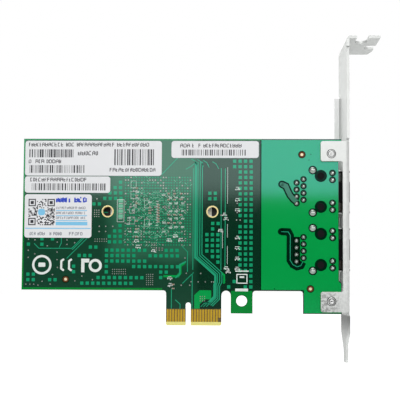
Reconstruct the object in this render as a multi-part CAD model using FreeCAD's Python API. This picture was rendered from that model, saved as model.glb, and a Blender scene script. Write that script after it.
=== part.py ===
import FreeCAD, Part
import math
import os

# A dual-port network interface card for a one-lane expansion slot, all sizes in millimetres.
# X runs along the card towards the mounting bracket, Z is up and away from the slot, and the card
# is seen from its solder side when one looks along +Y. The origin is the slot's key notch: on its
# centre line, at the tips of the contact tongues, in the middle of the board's thickness.

# Circuit board
board_thickness = 1.57
board_height = 68.9           # from the tongue's tips to the top edge
board_left = 61.6             # from the key notch to the free end
board_right = 56.1            # from the key notch to the bracket end
shoulder_height = 12.8        # lower edge of the board's main area
lower_edge_height = 4.49      # lower edge of the retention tab and of the bracket corner
tongue_corner_cut = 0.4
inner_corner_radius = 1.1
port_recess = 1.0             # the bracket end is cut back this much beside the ports
port_recess_margin = 3.4      # and runs this far past the outer ports

# Slot contacts
contact_pitch = 1.0
contact_width = 0.7
contact_thickness = 0.05
contact_bottom = 1.35
contact_top = 5.9
short_contact_cut = 1.6       # the two card-present contacts start this much higher
contacts_before_key = 11      # between the bracket and the key notch
contacts_after_key = 7
key_to_contact = 1.5          # from the notch's centre to the contact on either side
tongue_margin = 0.65          # from the last contact's centre to the tongue's edge
key_width = 1.9
key_height = 8.4
bevel_height = 1.3
bevel_depth = 0.42

# Retention tab and the corner that carries the bracket
retention_gap = 3.42          # between the contact tongue and the retention tab
retention_width = 8.0
retention_hole_radius = 2.0
retention_hole_height = 9.1
bracket_corner_width = 14.05

# Mounting bracket, folded from one sheet
sheet = 1.0
bend_inner_radius = 0.5
bracket_face = 59.05          # outer face, from the key notch
bracket_width = 18.42
bracket_seat_height = 106.4   # underside of the screw tab
bracket_seat_to_tip = 120.02
screw_tab_length = 11.43
screw_slot_width = 4.42
screw_slot_depth = 6.1
screw_slot_offset = 5.0       # from the outer face to the slot's centre line
end_slot_width = 4.0
end_slot_depth = 4.0
end_slot_offset = 10.4        # from the solder-side edge to the slot's centre line
tab_chamfer = 1.3
edge_notch_height = 4.4
edge_notch_drop = 2.9         # from the screw tab's underside to the notch
edge_notch_depth = 0.9
tongue_width = 14.3           # lower end below the bracket's shoulder, from the solder side
tongue_shoulder_height = 7.0
tip_taper_top = -2.6          # both edges slope in below this height
tip_near_inset = 4.1
tip_near_bottom = -6.7
tip_width = 4.8
tip_far_bottom = -9.0
tip_radius = 1.2
flange_width = 2.55           # narrow solder-side flange, from the outer face
stiffener_width = 2.85        # component-side flange, from the outer face
stiffener_top = 88.4
stiffener_bottom = 13.0
relief_height = 1.1           # notches that free the ends of each bend
ear_length = 10.65            # ears that lie on the board, from the outer face
ear_height = 7.4
ear_radius = 0.8
ear_screw_height = 63.3
lower_screw_height = 9.1
screw_from_face = 6.75
window_clearance = 0.15

# Bracket screws
screw_radius = 1.5
screw_hole_radius = 1.65
screw_head_radius = 2.75
screw_head_height = 1.9
screw_head_slope = 0.8
screw_recess_radius = 1.3
screw_recess_depth = 1.1
screw_recess_blade = 0.45
screw_point = 0.35            # length that shows past the ear
screw_point_chamfer = 0.3

# Ports
port_heights = (49.5, 28.1)
jack_width = 16.0
jack_height = 13.4
jack_depth = 21.3
jack_proud = 0.4              # the jack's front stands this far out of the bracket
shield_thickness = 0.25
shield_gap = 0.05
shield_spring_width = 2.4
shield_spring_bulge = 0.5
shield_spring_length = 4.2
shield_spring_thickness = 0.2
plug_width = 11.9
plug_floor = 4.3              # above the board
plug_ceiling = 11.3
plug_depth = 13.6
latch_width = 6.3
latch_floor = 2.7
latch_channel_width = 3.4
latch_channel_floor = 1.6
peg_radius = 1.62
peg_hole_radius = 1.72
peg_from_front = 10.9
peg_spacing = 11.43
peg_proud = 0.15
peg_chamfer = 0.4
signal_row_from_peg = 6.35
signal_row_gap = 2.54
signal_pitch = 1.27
spring_pitch = 1.016
signal_count = 8
wire = 0.36
signal_hole_radius = 0.45
top_run_depth = 0.75          # channel in the housing's roof for the wires
spring_front = 5.4            # from the front to the bend of the contact springs
spring_reach = 6.4
spring_drop = 2.2
rear_pocket_wall = 1.2
shield_tab_from_front = 13.85
shield_tab_width = 1.2
shield_hole_radius = 0.85
led_from_front = 6.6
led_pin_inset = 1.2           # from the jack's side to the outer pin
led_pin_pitch = 2.54
led_width = 3.3
led_height = 2.7
led_length = 5.4
led_floor = 0.5
led_wire = 0.5
led_hole_radius = 0.5
led_gap = 0.05
tail_length = 0.9             # past the board's solder face
joint_height = 0.7
signal_joint_radius = 0.78
led_joint_radius = 0.85
shield_joint_radius = 1.2
joint_tip = 0.16

# Network controller and heatsink
controller_x = -10.7
controller_height = 41.85
substrate_size = 25.0
substrate_thickness = 1.1
substrate_corner_cut = 0.4
ball_pitch = 1.0
ball_count = 24
ball_width = 0.55
ball_height = 0.5
die_size = 9.6
die_thickness = 0.75
pad_thickness = 0.25
heatsink_size = 38.0
heatsink_overhang = 3.3       # past the machined land, over each plated hole
heatsink_land = 0.6           # the bare land on its underside stands out this much
heatsink_height = 9.4
heatsink_base = 2.0
fin_thickness = 1.1
fin_count = 11
cross_cut_width = 1.9
cross_cut_count = 5
heatsink_hole_step = 0.75      # the holes' spacing over the heatsink's width
heatsink_hole_radius = 1.75
plating_thickness = 0.05
plating_ring_radius = 2.2

# Line transformers
transformer_gap = 9.4          # from the crystal's base to the transformers' middle
transformer_length = 15.3
transformer_width = 10.0
transformer_height = 5.7
transformer_pins = 12
transformer_pin_pitch = 1.27

# Small-outline chips: memory, flash and the step-down converter
chip_length = 4.9
chip_width = 3.9
chip_height = 1.5
chip_pins = 4
chip_pin_pitch = 1.27
eeprom_place = (13.2, 62.0)
flash_place = (13.2, 21.5)
converter_place = (-37.6, 47.0)

# Leads of moulded parts
body_standoff = 0.15
lead_thickness = 0.2
lead_width = 0.42
lead_reach = 1.15
lead_foot = 0.6
lead_exit = 0.8
body_chamfer = 0.25

# Linear regulators with a cooling tab
regulator_places = ((-38.0, 61.6), (-52.6, 61.6))
regulator_length = 6.5
regulator_width = 3.5
regulator_height = 1.6
regulator_tab_width = 3.0
regulator_pitch = 2.3

# Power inductors
inductor_places = ((-48.6, 48.6), (-48.6, 34.6))
inductor_size = 7.3
inductor_height = 3.5
inductor_corner = 1.5
inductor_well_radius = 2.3
inductor_well_depth = 0.35
terminal_thickness = 0.2
terminal_width = 3.2
terminal_rise = 1.4

# Aluminium can capacitors
can_places = ((-55.0, 21.0), (-45.6, 21.0))
can_radius = 3.15
can_height = 5.3
can_edge = 0.4
can_base_size = 6.6
can_base_height = 1.0
can_base_cut = 1.3
can_groove_height = 1.0
can_groove_depth = 0.3
can_groove_width = 0.7

# Crystal
crystal_gap = 0.6             # from the heatsink's side to the crystal's base
crystal_z = 43.5
crystal_length = 10.6
crystal_width = 3.9
crystal_height = 3.3
crystal_base_length = 11.6
crystal_base_width = 4.8
crystal_base_height = 0.9
crystal_base_cut = 0.5
crystal_rim = 0.35
crystal_flange = 0.45
crystal_flange_height = 0.35

# Chip resistors and chip capacitors
small_length = 1.0
small_width = 0.5
small_height = 0.45
large_length = 1.6
large_width = 0.8
large_height = 0.7
end_cap_share = 0.25
end_cap_lift = 0.03

# Paper labels on the solder side: three one under another at the left, and one at the top middle
label_thickness = 0.1
label_hole_gap = 0.3          # kept clear round a plated hole
label_corner_cut = 0.5
label_left = -61.0
label_product_width = 50.8
label_product_rise = 13.25    # its lower edge above the controller's middle
label_product_margin = 0.8    # from its upper edge to the board's
label_serial_width = 31.8
label_serial_height = 6.1
label_serial_gap = 0.3        # below the product label
label_warranty_left = -60.9
label_warranty_width = 24.9
label_warranty_height = 16.1
label_warranty_gap = 0.6      # below the serial label
label_address_left = -6.6
label_address_width = 32.3
label_address_height = 6.3

# Flat sides that stand for a circle on pieces that repeat
pin_sides = 8
ring_sides = 16
turned_sides = 24

# Sizes that follow from the driving ones
solder_face = -board_thickness / 2
component_face = board_thickness / 2
tongue_right = key_to_contact + (contacts_before_key - 1) * contact_pitch + tongue_margin
tongue_left = -(key_to_contact + (contacts_after_key - 1) * contact_pitch + tongue_margin)
retention_left = tongue_right + retention_gap
retention_right = retention_left + retention_width
retention_x = (retention_left + retention_right) / 2
bracket_corner_left = board_right - bracket_corner_width
bracket_inner = bracket_face - sheet
bracket_near = solder_face - sheet
bracket_far = bracket_near + bracket_width
bend_outer_radius = bend_inner_radius + sheet
bracket_tip_height = bracket_seat_height - bracket_seat_to_tip
screw_x = bracket_face - screw_from_face
screw_heights = (ear_screw_height, lower_screw_height)
flange_top = ear_screw_height + ear_height * 0.63
flange_bottom = lower_screw_height - ear_height * 0.53
jack_front = bracket_face + jack_proud
peg_x = jack_front - peg_from_front
signal_rows = (peg_x - signal_row_from_peg, peg_x - signal_row_from_peg - signal_row_gap)
shield_tab_x = jack_front - shield_tab_from_front
led_x = jack_front - led_from_front
led_pin_outer = jack_width / 2 - led_pin_inset
led_pin_inner = led_pin_outer - led_pin_pitch
port_top = max(port_heights) + jack_width / 2
port_bottom = min(port_heights) - jack_width / 2
tail_end = solder_face - tail_length
heatsink_floor = ball_height + substrate_thickness + die_thickness + pad_thickness
heatsink_hole_spacing = heatsink_size + heatsink_hole_step
heatsink_right = controller_x + heatsink_size / 2 + heatsink_overhang
crystal_x = heatsink_right + crystal_gap + crystal_base_width / 2
transformer_x = crystal_x + crystal_base_width / 2 + transformer_gap
label_product_low = controller_height + label_product_rise
label_top = board_height - label_product_margin
label_serial_top = label_product_low - label_serial_gap
label_warranty_top = label_serial_top - label_serial_height - label_warranty_gap
heatsink_hole_places = tuple(
    (controller_x + side * heatsink_hole_spacing / 2, controller_height) for side in (-1, 1)
)


def point(x, y, z):
    """A point in the part's frame."""
    return FreeCAD.Vector(x, y, z)


def block(x, y, z):
    """A box between three (low, high) pairs."""
    return Part.makeBox(x[1] - x[0], y[1] - y[0], z[1] - z[0], point(x[0], y[0], z[0]))


def rounded_face(corners, place):
    """A flat face whose corners are (u, v, radius), put in space by place(u, v)."""
    stretches = []
    count = len(corners)
    for i, (u, v, radius) in enumerate(corners):
        corner = FreeCAD.Vector(u, v, 0)
        back = (FreeCAD.Vector(*corners[i - 1][:2], 0) - corner).normalize()
        ahead = (FreeCAD.Vector(*corners[(i + 1) % count][:2], 0) - corner).normalize()
        if radius == 0:
            stretches.append((corner, None, corner))
            continue
        half_angle = back.getAngle(ahead) / 2
        reach = radius / math.tan(half_angle)
        bisector = (back + ahead).normalize()
        middle = corner + bisector * (radius / math.sin(half_angle) - radius)
        stretches.append((corner + back * reach, middle, corner + ahead * reach))
    edges = []
    for i, (start, middle, end) in enumerate(stretches):
        if middle is not None:
            arc = Part.Arc(place(start.x, start.y), place(middle.x, middle.y), place(end.x, end.y))
            edges.append(arc.toShape())
        following = stretches[(i + 1) % count][0]
        if end.distanceToPoint(following) > 1e-6:
            edges.append(Part.LineSegment(place(end.x, end.y), place(following.x, following.y)).toShape())
    return Part.Face(Part.Wire(Part.__sortEdges__(edges)))


def slab_xz(corners, y):
    """A sheet with its outline in X and Z, between two heights along Y."""
    return rounded_face(corners, lambda u, v: point(u, y[0], v)).extrude(point(0, y[1] - y[0], 0))


def slab_yz(corners, x):
    """A sheet with its outline in Y and Z, between two places along X."""
    return rounded_face(corners, lambda u, v: point(x[0], u, v)).extrude(point(x[1] - x[0], 0, 0))


def slab_xy(corners, z):
    """A sheet with its outline in X and Y, between two heights along Z."""
    return rounded_face(corners, lambda u, v: point(u, v, z[0])).extrude(point(0, 0, z[1] - z[0]))


def pin_y(x, z, radius, y):
    """A round pin along Y."""
    return Part.makeCylinder(radius, y[1] - y[0], point(x, y[0], z), point(0, 1, 0))


def many_sided(x, z, radius, sides, y):
    """A closed outline at height y whose flats lie on a circle round (x, z)."""
    turn = 2 * math.pi / sides
    reach = radius / math.cos(turn / 2)
    corners = []
    for i in range(sides + 1):
        angle = (i % sides + 0.5) * turn
        corners.append(point(x + reach * math.cos(angle), y, z + reach * math.sin(angle)))
    return Part.makePolygon(corners)


def prism_y(x, z, radius, y, sides):
    """A straight pin along Y with flat sides, for small pieces that repeat."""
    base = Part.Face(many_sided(x, z, radius, sides, y[0]))
    return base.extrude(point(0, y[1] - y[0], 0))


def turned(x, z, profile, sides):
    """A turned solid along Y with flat sides, from the (radius, y) points of its outline."""
    rings = [many_sided(x, z, radius, sides, y) for radius, y in profile]
    faces = [Part.Face(rings[0]), Part.Face(rings[-1])]
    for low, high in zip(rings, rings[1:]):
        for i in range(sides):
            a, b = low.Vertexes[i].Point, low.Vertexes[(i + 1) % sides].Point
            c, d = high.Vertexes[(i + 1) % sides].Point, high.Vertexes[i].Point
            faces.append(Part.Face(Part.makePolygon([a, b, c, d, a])))
    return Part.Solid(Part.Shell(faces)).removeSplitter()


def frustum_y(x, z, radii, y, sides):
    """A tapered pin along Y with flat sides, from radii[0] at y[0] to radii[1] at y[1]."""
    return turned(x, z, tuple(zip(radii, y)), sides)


def joined(shapes):
    """One clean solid from shapes that touch or overlap."""
    return shapes[0].multiFuse(shapes[1:]).removeSplitter()


def rectangle(u, v, radius=0):
    """The four corners of a rectangle between two (low, high) pairs."""
    return [(u[0], v[0], radius), (u[1], v[0], radius), (u[1], v[1], radius), (u[0], v[1], radius)]


def clipped(u, v, cut):
    """The eight corners of a rectangle whose corners are cut off at 45 degrees."""
    return [
        (u[0] + cut, v[0], 0), (u[1] - cut, v[0], 0), (u[1], v[0] + cut, 0), (u[1], v[1] - cut, 0),
        (u[1] - cut, v[1], 0), (u[0] + cut, v[1], 0), (u[0], v[1] - cut, 0), (u[0], v[0] + cut, 0),
    ]


def around(centre, size):
    """The (low, high) pair of a length about its centre."""
    return (centre - size / 2, centre + size / 2)


def signal_tails(port_height):
    """Places (x, z) of a jack's signal tails, in two staggered rows, from the top pin down."""
    first = port_height + signal_pitch * (signal_count - 1) / 2
    return [(signal_rows[i % 2], first - i * signal_pitch) for i in range(signal_count)]


def led_tails(port_height):
    """Places (x, z) of the light-emitting diodes' tails."""
    offsets = (led_pin_outer, led_pin_inner, -led_pin_inner, -led_pin_outer)
    return [(led_x, port_height + offset) for offset in offsets]


def shield_tails(port_height):
    """Places (x, z) of the shield's solder tabs."""
    offset = jack_width / 2 - shield_thickness / 2
    return [(shield_tab_x, port_height + side * offset) for side in (1, -1)]


def peg_places(port_height):
    """Places (x, z) of the housing's locating pegs."""
    return [(peg_x, port_height + side * peg_spacing / 2) for side in (1, -1)]


def circuit_board():
    """The glass-fibre board: outline, slot tongues with their bevel, and every drilled hole."""
    half_key = key_width / 2
    cut = board_right - port_recess
    top = port_top + port_recess_margin
    bottom = port_bottom - port_recess_margin
    outer = tongue_corner_cut
    inner = inner_corner_radius
    corners = [
        (-board_left, board_height, 0),
        (board_right, board_height, 0),
        (board_right, top + port_recess, 0),
        (cut, top, 0),
        (cut, bottom, 0),
        (board_right, bottom - port_recess, 0),
        (board_right, lower_edge_height, 0),
        (bracket_corner_left, lower_edge_height, 0),
        (bracket_corner_left, shoulder_height, inner),
        (retention_right, shoulder_height, inner),
        (retention_right, lower_edge_height, 0),
        (retention_left, lower_edge_height, 0),
        (retention_left, shoulder_height, retention_gap * 0.49),
        (tongue_right, shoulder_height, retention_gap * 0.49),
        (tongue_right, outer, 0),
        (tongue_right - outer, 0, 0),
        (half_key, 0, 0),
        (half_key, key_height, half_key * 0.98),
        (-half_key, key_height, half_key * 0.98),
        (-half_key, 0, 0),
        (tongue_left + outer, 0, 0),
        (tongue_left, outer, 0),
        (tongue_left, shoulder_height, inner),
        (-board_left, shoulder_height, 0),
    ]
    board = slab_xz(corners, (solder_face, component_face))
    tongue = (tongue_left - 1, tongue_right + 1)
    bevels = []
    for face, inward in ((solder_face, bevel_depth), (component_face, -bevel_depth)):
        wedge = [(face, 0, 0), (face, bevel_height, 0), (face + inward, 0, 0)]
        bevels.append(slab_yz(wedge, tongue))
    drill = (solder_face - 1, component_face + 1)
    holes = [pin_y(retention_x, retention_hole_height, retention_hole_radius, drill)]
    for x, z in heatsink_hole_places:
        holes.append(prism_y(x, z, heatsink_hole_radius + plating_thickness, drill, ring_sides))
    for z in screw_heights:
        holes.append(prism_y(screw_x, z, screw_hole_radius, drill, ring_sides))
    for height in port_heights:
        holes += [prism_y(x, z, peg_hole_radius, drill, ring_sides) for x, z in peg_places(height)]
        holes += [prism_y(x, z, signal_hole_radius, drill, pin_sides) for x, z in signal_tails(height)]
        holes += [prism_y(x, z, led_hole_radius, drill, pin_sides) for x, z in led_tails(height)]
        holes += [prism_y(x, z, shield_hole_radius, drill, pin_sides) for x, z in shield_tails(height)]
    return board.cut(bevels + holes)


def contact_places():
    """The centres along X of the slot contacts, from the bracket's side to the free end."""
    near = [key_to_contact + i * contact_pitch for i in reversed(range(contacts_before_key))]
    far = [-(key_to_contact + i * contact_pitch) for i in range(contacts_after_key)]
    return near + far


def edge_contacts():
    """Gold contacts on both faces of the tongues, one short contact on each face."""
    places = contact_places()
    short = {solder_face: 0, component_face: len(places) - 2}
    faces = {
        solder_face: (solder_face - contact_thickness, solder_face),
        component_face: (component_face, component_face + contact_thickness),
    }
    contacts = []
    for face, y in faces.items():
        for i, x in enumerate(places):
            low = contact_bottom + (short_contact_cut if i == short[face] else 0)
            contacts.append(block(around(x, contact_width), y, (low, contact_top)))
    return Part.makeCompound(contacts)


def heatsink_hole_plating():
    """Plated barrels with a ring on each face, in the two heatsink holes."""
    inner = heatsink_hole_radius
    barrel = inner + plating_thickness
    low = solder_face - plating_thickness
    high = component_face + plating_thickness
    eyelets = []
    for x, z in heatsink_hole_places:
        eyelet = joined([
            prism_y(x, z, barrel, (low, high), ring_sides),
            prism_y(x, z, plating_ring_radius, (low, solder_face), ring_sides),
            prism_y(x, z, plating_ring_radius, (component_face, high), ring_sides),
        ])
        eyelets.append(eyelet.cut(prism_y(x, z, inner, (low - 1, high + 1), ring_sides)))
    return Part.makeCompound(eyelets)


def ear_corners():
    """Outline in X and Z of the solder-side flange with its two ears."""
    lip = bracket_face - flange_width
    end = bracket_face - ear_length
    upper_ear_bottom = flange_top - ear_height
    lower_ear_top = flange_bottom + ear_height
    return [
        (end, flange_top, ear_radius),
        (bracket_face, flange_top, 0),
        (bracket_face, flange_bottom, 0),
        (end, flange_bottom, ear_radius),
        (end, lower_ear_top, ear_radius),
        (lip, lower_ear_top, ear_radius),
        (lip, upper_ear_bottom, ear_radius),
        (end, upper_ear_bottom, ear_radius),
    ]


def bracket_side_corners():
    """Outline in Y and Z of the bracket's face plate, with the zones left free for its bends."""
    near_bend = bracket_near + bend_outer_radius
    far_bend = bracket_far - bend_outer_radius
    tongue_far = bracket_near + tongue_width
    tip_near = bracket_near + tip_near_inset
    tip_far = tip_near + tip_width
    notch_top = bracket_seat_height - edge_notch_drop
    notch_bottom = notch_top - edge_notch_height
    notch = bracket_near + edge_notch_depth
    return [
        (bracket_near, bracket_seat_height + sheet, 0),
        (bracket_near, notch_top, 0),
        (notch, notch_top, 0),
        (notch, notch_bottom, 0),
        (bracket_near, notch_bottom, 0),
        (bracket_near, flange_top + relief_height, 0),
        (near_bend, flange_top + relief_height, 0),
        (near_bend, flange_bottom - relief_height, 0),
        (bracket_near, flange_bottom - relief_height, 0),
        (bracket_near, tip_taper_top, 0),
        (tip_near, tip_near_bottom, 0),
        (tip_near, bracket_tip_height, tip_radius),
        (tip_far, bracket_tip_height, tip_radius),
        (tip_far, tip_far_bottom, 0),
        (tongue_far, tip_taper_top, 0),
        (tongue_far, tongue_shoulder_height, 0),
        (bracket_far, tongue_shoulder_height + bracket_width - tongue_width, 0),
        (bracket_far, stiffener_bottom - relief_height, 0),
        (far_bend, stiffener_bottom - relief_height, 0),
        (far_bend, stiffener_top + relief_height, 0),
        (bracket_far, stiffener_top + relief_height, 0),
        (bracket_far, bracket_seat_height + sheet, 0),
    ]


def mounting_bracket():
    """The folded bracket: face plate, screw tab, ears on the board, stiffener and port windows."""
    seat = bracket_seat_height
    tab_end = bracket_face + screw_tab_length
    profile = [
        (bracket_inner, bracket_tip_height - 1, 0),
        (bracket_inner, seat + sheet, bend_outer_radius),
        (tab_end, seat + sheet, 0),
        (tab_end, seat, 0),
        (bracket_face, seat, bend_inner_radius),
        (bracket_face, bracket_tip_height - 1, 0),
    ]
    folded = slab_xz(profile, (bracket_near, bracket_far))
    plate = folded.common(slab_yz(bracket_side_corners(), (bracket_inner - 1, tab_end + 1)))
    slot_x = bracket_face + screw_slot_offset
    slot_radius = screw_slot_width / 2
    above = (seat - 1, seat + sheet + 1)
    slot = slab_xy(
        [
            (slot_x - slot_radius, bracket_near - 1, 0),
            (slot_x + slot_radius, bracket_near - 1, 0),
            (slot_x + slot_radius, bracket_near + screw_slot_depth, slot_radius * 0.98),
            (slot_x - slot_radius, bracket_near + screw_slot_depth, slot_radius * 0.98),
        ],
        above,
    )
    end_y = bracket_near + end_slot_offset
    end_radius = end_slot_width / 2
    end_slot = slab_xy(
        [
            (tab_end + 1, end_y - end_radius, 0),
            (tab_end + 1, end_y + end_radius, 0),
            (tab_end - end_slot_depth, end_y + end_radius, end_radius * 0.98),
            (tab_end - end_slot_depth, end_y - end_radius, end_radius * 0.98),
        ],
        above,
    )
    corner_cut = slab_xy(
        [
            (tab_end - tab_chamfer, bracket_far, 0),
            (tab_end, bracket_far - tab_chamfer * 3, 0),
            (tab_end + 1, bracket_far - tab_chamfer * 3, 0),
            (tab_end + 1, bracket_far + 1, 0),
            (tab_end - tab_chamfer, bracket_far + 1, 0),
        ],
        above,
    )
    near_bend = bracket_near + bend_outer_radius
    flange_profile = [
        (bracket_face - ear_length - 1, bracket_near, 0),
        (bracket_face, bracket_near, bend_outer_radius * 0.98),
        (bracket_face, near_bend, 0),
        (bracket_inner, near_bend, 0),
        (bracket_inner, solder_face, bend_inner_radius * 0.98),
        (bracket_face - ear_length - 1, solder_face, 0),
    ]
    flange = slab_xy(flange_profile, (flange_bottom, flange_top))
    flange = flange.common(slab_xz(ear_corners(), (bracket_near - 1, near_bend + 1)))
    far_bend = bracket_far - bend_outer_radius
    stiffener_profile = [
        (bracket_face - stiffener_width, bracket_far, 0),
        (bracket_face, bracket_far, bend_outer_radius * 0.98),
        (bracket_face, far_bend, 0),
        (bracket_inner, far_bend, 0),
        (bracket_inner, bracket_far - sheet, bend_inner_radius * 0.98),
        (bracket_face - stiffener_width, bracket_far - sheet, 0),
    ]
    stiffener = slab_xy(stiffener_profile, (stiffener_bottom, stiffener_top))
    bracket = joined([plate, flange, stiffener])
    cuts = [slot, end_slot, corner_cut]
    clearance = window_clearance
    window_y = (component_face - clearance, component_face + jack_height + clearance)
    for height in port_heights:
        opening = around(height, jack_width + 2 * clearance)
        cuts.append(block((bracket_inner - 1, bracket_face + 1), window_y, opening))
    for z in screw_heights:
        cuts.append(prism_y(screw_x, z, screw_radius, (bracket_near - 1, solder_face + 1), turned_sides))
    return bracket.cut(cuts)


def bracket_screws():
    """Two pan-head machine screws: heads on the component side, points in the bracket's ears."""
    point_end = bracket_near - screw_point
    blade = screw_recess_blade
    head_top = component_face + screw_head_height
    profile = (
        (screw_radius - screw_point_chamfer, point_end),
        (screw_radius, point_end + screw_point_chamfer), (screw_radius, component_face),
        (screw_head_radius, component_face), (screw_head_radius, head_top - screw_head_slope),
        (screw_head_radius - screw_head_slope, head_top),
    )
    screws = []
    for z in screw_heights:
        screw = turned(screw_x, z, profile, turned_sides)
        recess_y = (head_top - screw_recess_depth, head_top + 1)
        reach = 2 * screw_recess_radius
        cross = [
            block(around(screw_x, reach), recess_y, around(z, blade)),
            block(around(screw_x, blade), recess_y, around(z, reach)),
        ]
        screws.append(screw.cut(cross))
    return Part.makeCompound(screws)


def jack_across(port_height, inset=0):
    """The (low, high) pair of a jack's width, taken in on both sides."""
    return around(port_height, jack_width - 2 * inset)


def jack_shield(port_height):
    """The jack's folded tin-plated shield: roof, sides, rear wall, springs and two solder tabs."""
    outer = block(
        (jack_front - jack_depth, jack_front), (component_face, component_face + jack_height),
        jack_across(port_height),
    )
    hollow = block(
        (jack_front - jack_depth + shield_thickness, jack_front + 1),
        (component_face - 1, component_face + jack_height - shield_thickness),
        jack_across(port_height, shield_thickness),
    )
    pieces = [outer.cut(hollow)]
    for x, z in shield_tails(port_height):
        pieces.append(block(
            around(x, shield_tab_width), (tail_end, component_face + 1), around(z, shield_thickness),
        ))
    roof = component_face + jack_height
    start = bracket_inner - jack_proud
    bend = start - shield_spring_length / 2
    end = start - shield_spring_length
    thick = shield_spring_thickness
    bulge = shield_spring_bulge
    arch = ((start, 0), (bend, bulge), (end, 0), (end, -thick), (bend, bulge - thick), (start, -thick))
    for offset in (-jack_width / 4, jack_width / 4):
        corners = [(x, roof + rise, 0) for x, rise in arch]
        pieces.append(slab_xy(corners, around(port_height + offset, shield_spring_width)))
    for side in (-1, 1):
        wall = port_height + side * jack_width / 2
        corners = [(x, wall + side * rise, 0) for x, rise in arch]
        middle = component_face + jack_height / 2
        pieces.append(slab_xz(corners, around(middle, shield_spring_width)))
    return joined(pieces)


def jack_housing(port_height):
    """The moulded insert: plug cavity, latch steps, contact channels, diode pockets and pegs."""
    inset = shield_thickness + shield_gap
    floor = component_face
    rear = jack_front - jack_depth + inset
    roof = floor + jack_height - inset
    body = block((rear, jack_front), (floor, roof), jack_across(port_height, inset))
    cuts = []
    cavity_x = (jack_front - plug_depth, jack_front + 1)
    steps = (
        (plug_width, plug_floor, plug_ceiling),
        (latch_width, latch_floor, plug_floor),
        (latch_channel_width, latch_channel_floor, latch_floor),
    )
    for width, low, high in steps:
        cuts.append(block(cavity_x, (floor + low, floor + high + 0.01), around(port_height, width)))
    comb = spring_pitch * signal_count
    channel = signal_pitch * signal_count
    pocket = (rear - 1, signal_rows[0] + rear_pocket_wall)
    cuts.append(block(pocket, (floor - 1, roof + 1), around(port_height, channel)))
    run = (rear - 1, jack_front - spring_front + wire)
    cuts.append(block(run, (roof - top_run_depth, roof + 1), around(port_height, channel)))
    slot = (jack_front - spring_front - spring_reach - wire, jack_front - spring_front + wire)
    cuts.append(block(slot, (floor + plug_ceiling - 1, roof), around(port_height, comb)))
    for side in (-1, 1):
        middle = port_height + side * (led_pin_outer + led_pin_inner) / 2
        across = around(middle, led_width + 2 * led_gap)
        pocket_top = floor + led_floor + led_height + led_gap
        cuts.append(block((led_x - led_wire, jack_front + 1), (floor - 1, pocket_top), across))
    pegs = []
    peg_end = solder_face - peg_proud
    for x, z in peg_places(port_height):
        pegs.append(prism_y(x, z, peg_radius, (peg_end + peg_chamfer, floor + 1), ring_sides))
        tip = (peg_radius - peg_chamfer, peg_radius)
        pegs.append(frustum_y(x, z, tip, (peg_end, peg_end + peg_chamfer), ring_sides))
    return joined([body.cut(cuts)] + pegs)


def jack_contacts(port_height):
    """Eight formed wires: solder tail, rear riser, jogged run under the roof and contact spring."""
    roof = component_face + jack_height - shield_thickness - shield_gap
    run_top = roof - top_run_depth + wire
    run_y = (run_top - wire, run_top)
    bend = jack_front - spring_front
    jog_end = max(signal_rows) + 2 * wire
    wires = []
    for i, (x, z) in enumerate(signal_tails(port_height)):
        contact_z = port_height + spring_pitch * ((signal_count - 1) / 2 - i)
        riser = block(around(x, wire), (tail_end, run_top), around(z, wire))
        half = wire / 2
        run = slab_xz(
            [
                (x - half, z - half, 0),
                (jog_end, z - half, 0),
                (jog_end + signal_row_gap, contact_z - half, 0),
                (bend + wire, contact_z - half, 0),
                (bend + wire, contact_z + half, 0),
                (jog_end + signal_row_gap, contact_z + half, 0),
                (jog_end, z + half, 0),
                (x - half, z + half, 0),
            ],
            run_y,
        )
        spring = slab_xy(
            [
                (bend + wire, run_top, 0),
                (bend + wire, run_top - 1.6 * wire, 0),
                (bend - spring_reach, component_face + plug_ceiling - spring_drop, 0),
                (bend - spring_reach, component_face + plug_ceiling - spring_drop + wire, 0),
                (bend - wire, run_top - wire, 0),
                (bend - wire, run_top, 0),
            ],
            around(contact_z, wire),
        )
        wires.append(joined([riser, run, spring]))
    return Part.makeCompound(wires)


def jack_led(port_height, side):
    """One light-emitting diode block behind the jack's face, above (1) or below (-1) the latch."""
    middle = port_height + side * (led_pin_outer + led_pin_inner) / 2
    low = component_face + led_floor
    lens = block((jack_front - led_length, jack_front), (low, low + led_height), around(middle, led_width))
    front = [e for e in lens.Edges if e.BoundBox.XMin > jack_front - 1e-3]
    return lens.makeChamfer(0.2, front)


def jack_led_leads(port_height):
    """The four bent leads of a jack's diodes."""
    back = jack_front - led_length
    height = component_face + led_floor + led_height / 2
    half = led_wire / 2
    leads = []
    for x, z in led_tails(port_height):
        corners = [
            (back, height + half, 0),
            (x - half, height + half, 0),
            (x - half, tail_end, 0),
            (x + half, tail_end, 0),
            (x + half, height - half, 0),
            (back, height - half, 0),
        ]
        leads.append(slab_xy(corners, around(z, led_wire)))
    return Part.makeCompound(leads)


def solder_cone(x, z, radius, tail):
    """One solder joint on the solder face, tapering to its tail of half sizes (x, z)."""
    radii = (math.hypot(*tail) + joint_tip, radius)
    cone = frustum_y(x, z, radii, (solder_face - joint_height, solder_face), pin_sides)
    core = block((x - tail[0], x + tail[0]), (tail_end - 1, component_face), (z - tail[1], z + tail[1]))
    return cone.cut(core)


def solder_joints():
    """The soldered joints of both jacks, on the solder face."""
    square = (wire / 2, wire / 2)
    led_square = (led_wire / 2, led_wire / 2)
    tab = (shield_tab_width / 2, shield_thickness / 2)
    joints = []
    for height in port_heights:
        joints += [solder_cone(x, z, signal_joint_radius, square) for x, z in signal_tails(height)]
        joints += [solder_cone(x, z, led_joint_radius, led_square) for x, z in led_tails(height)]
        joints += [solder_cone(x, z, shield_joint_radius, tab) for x, z in shield_tails(height)]
    return Part.makeCompound(joints)


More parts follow.
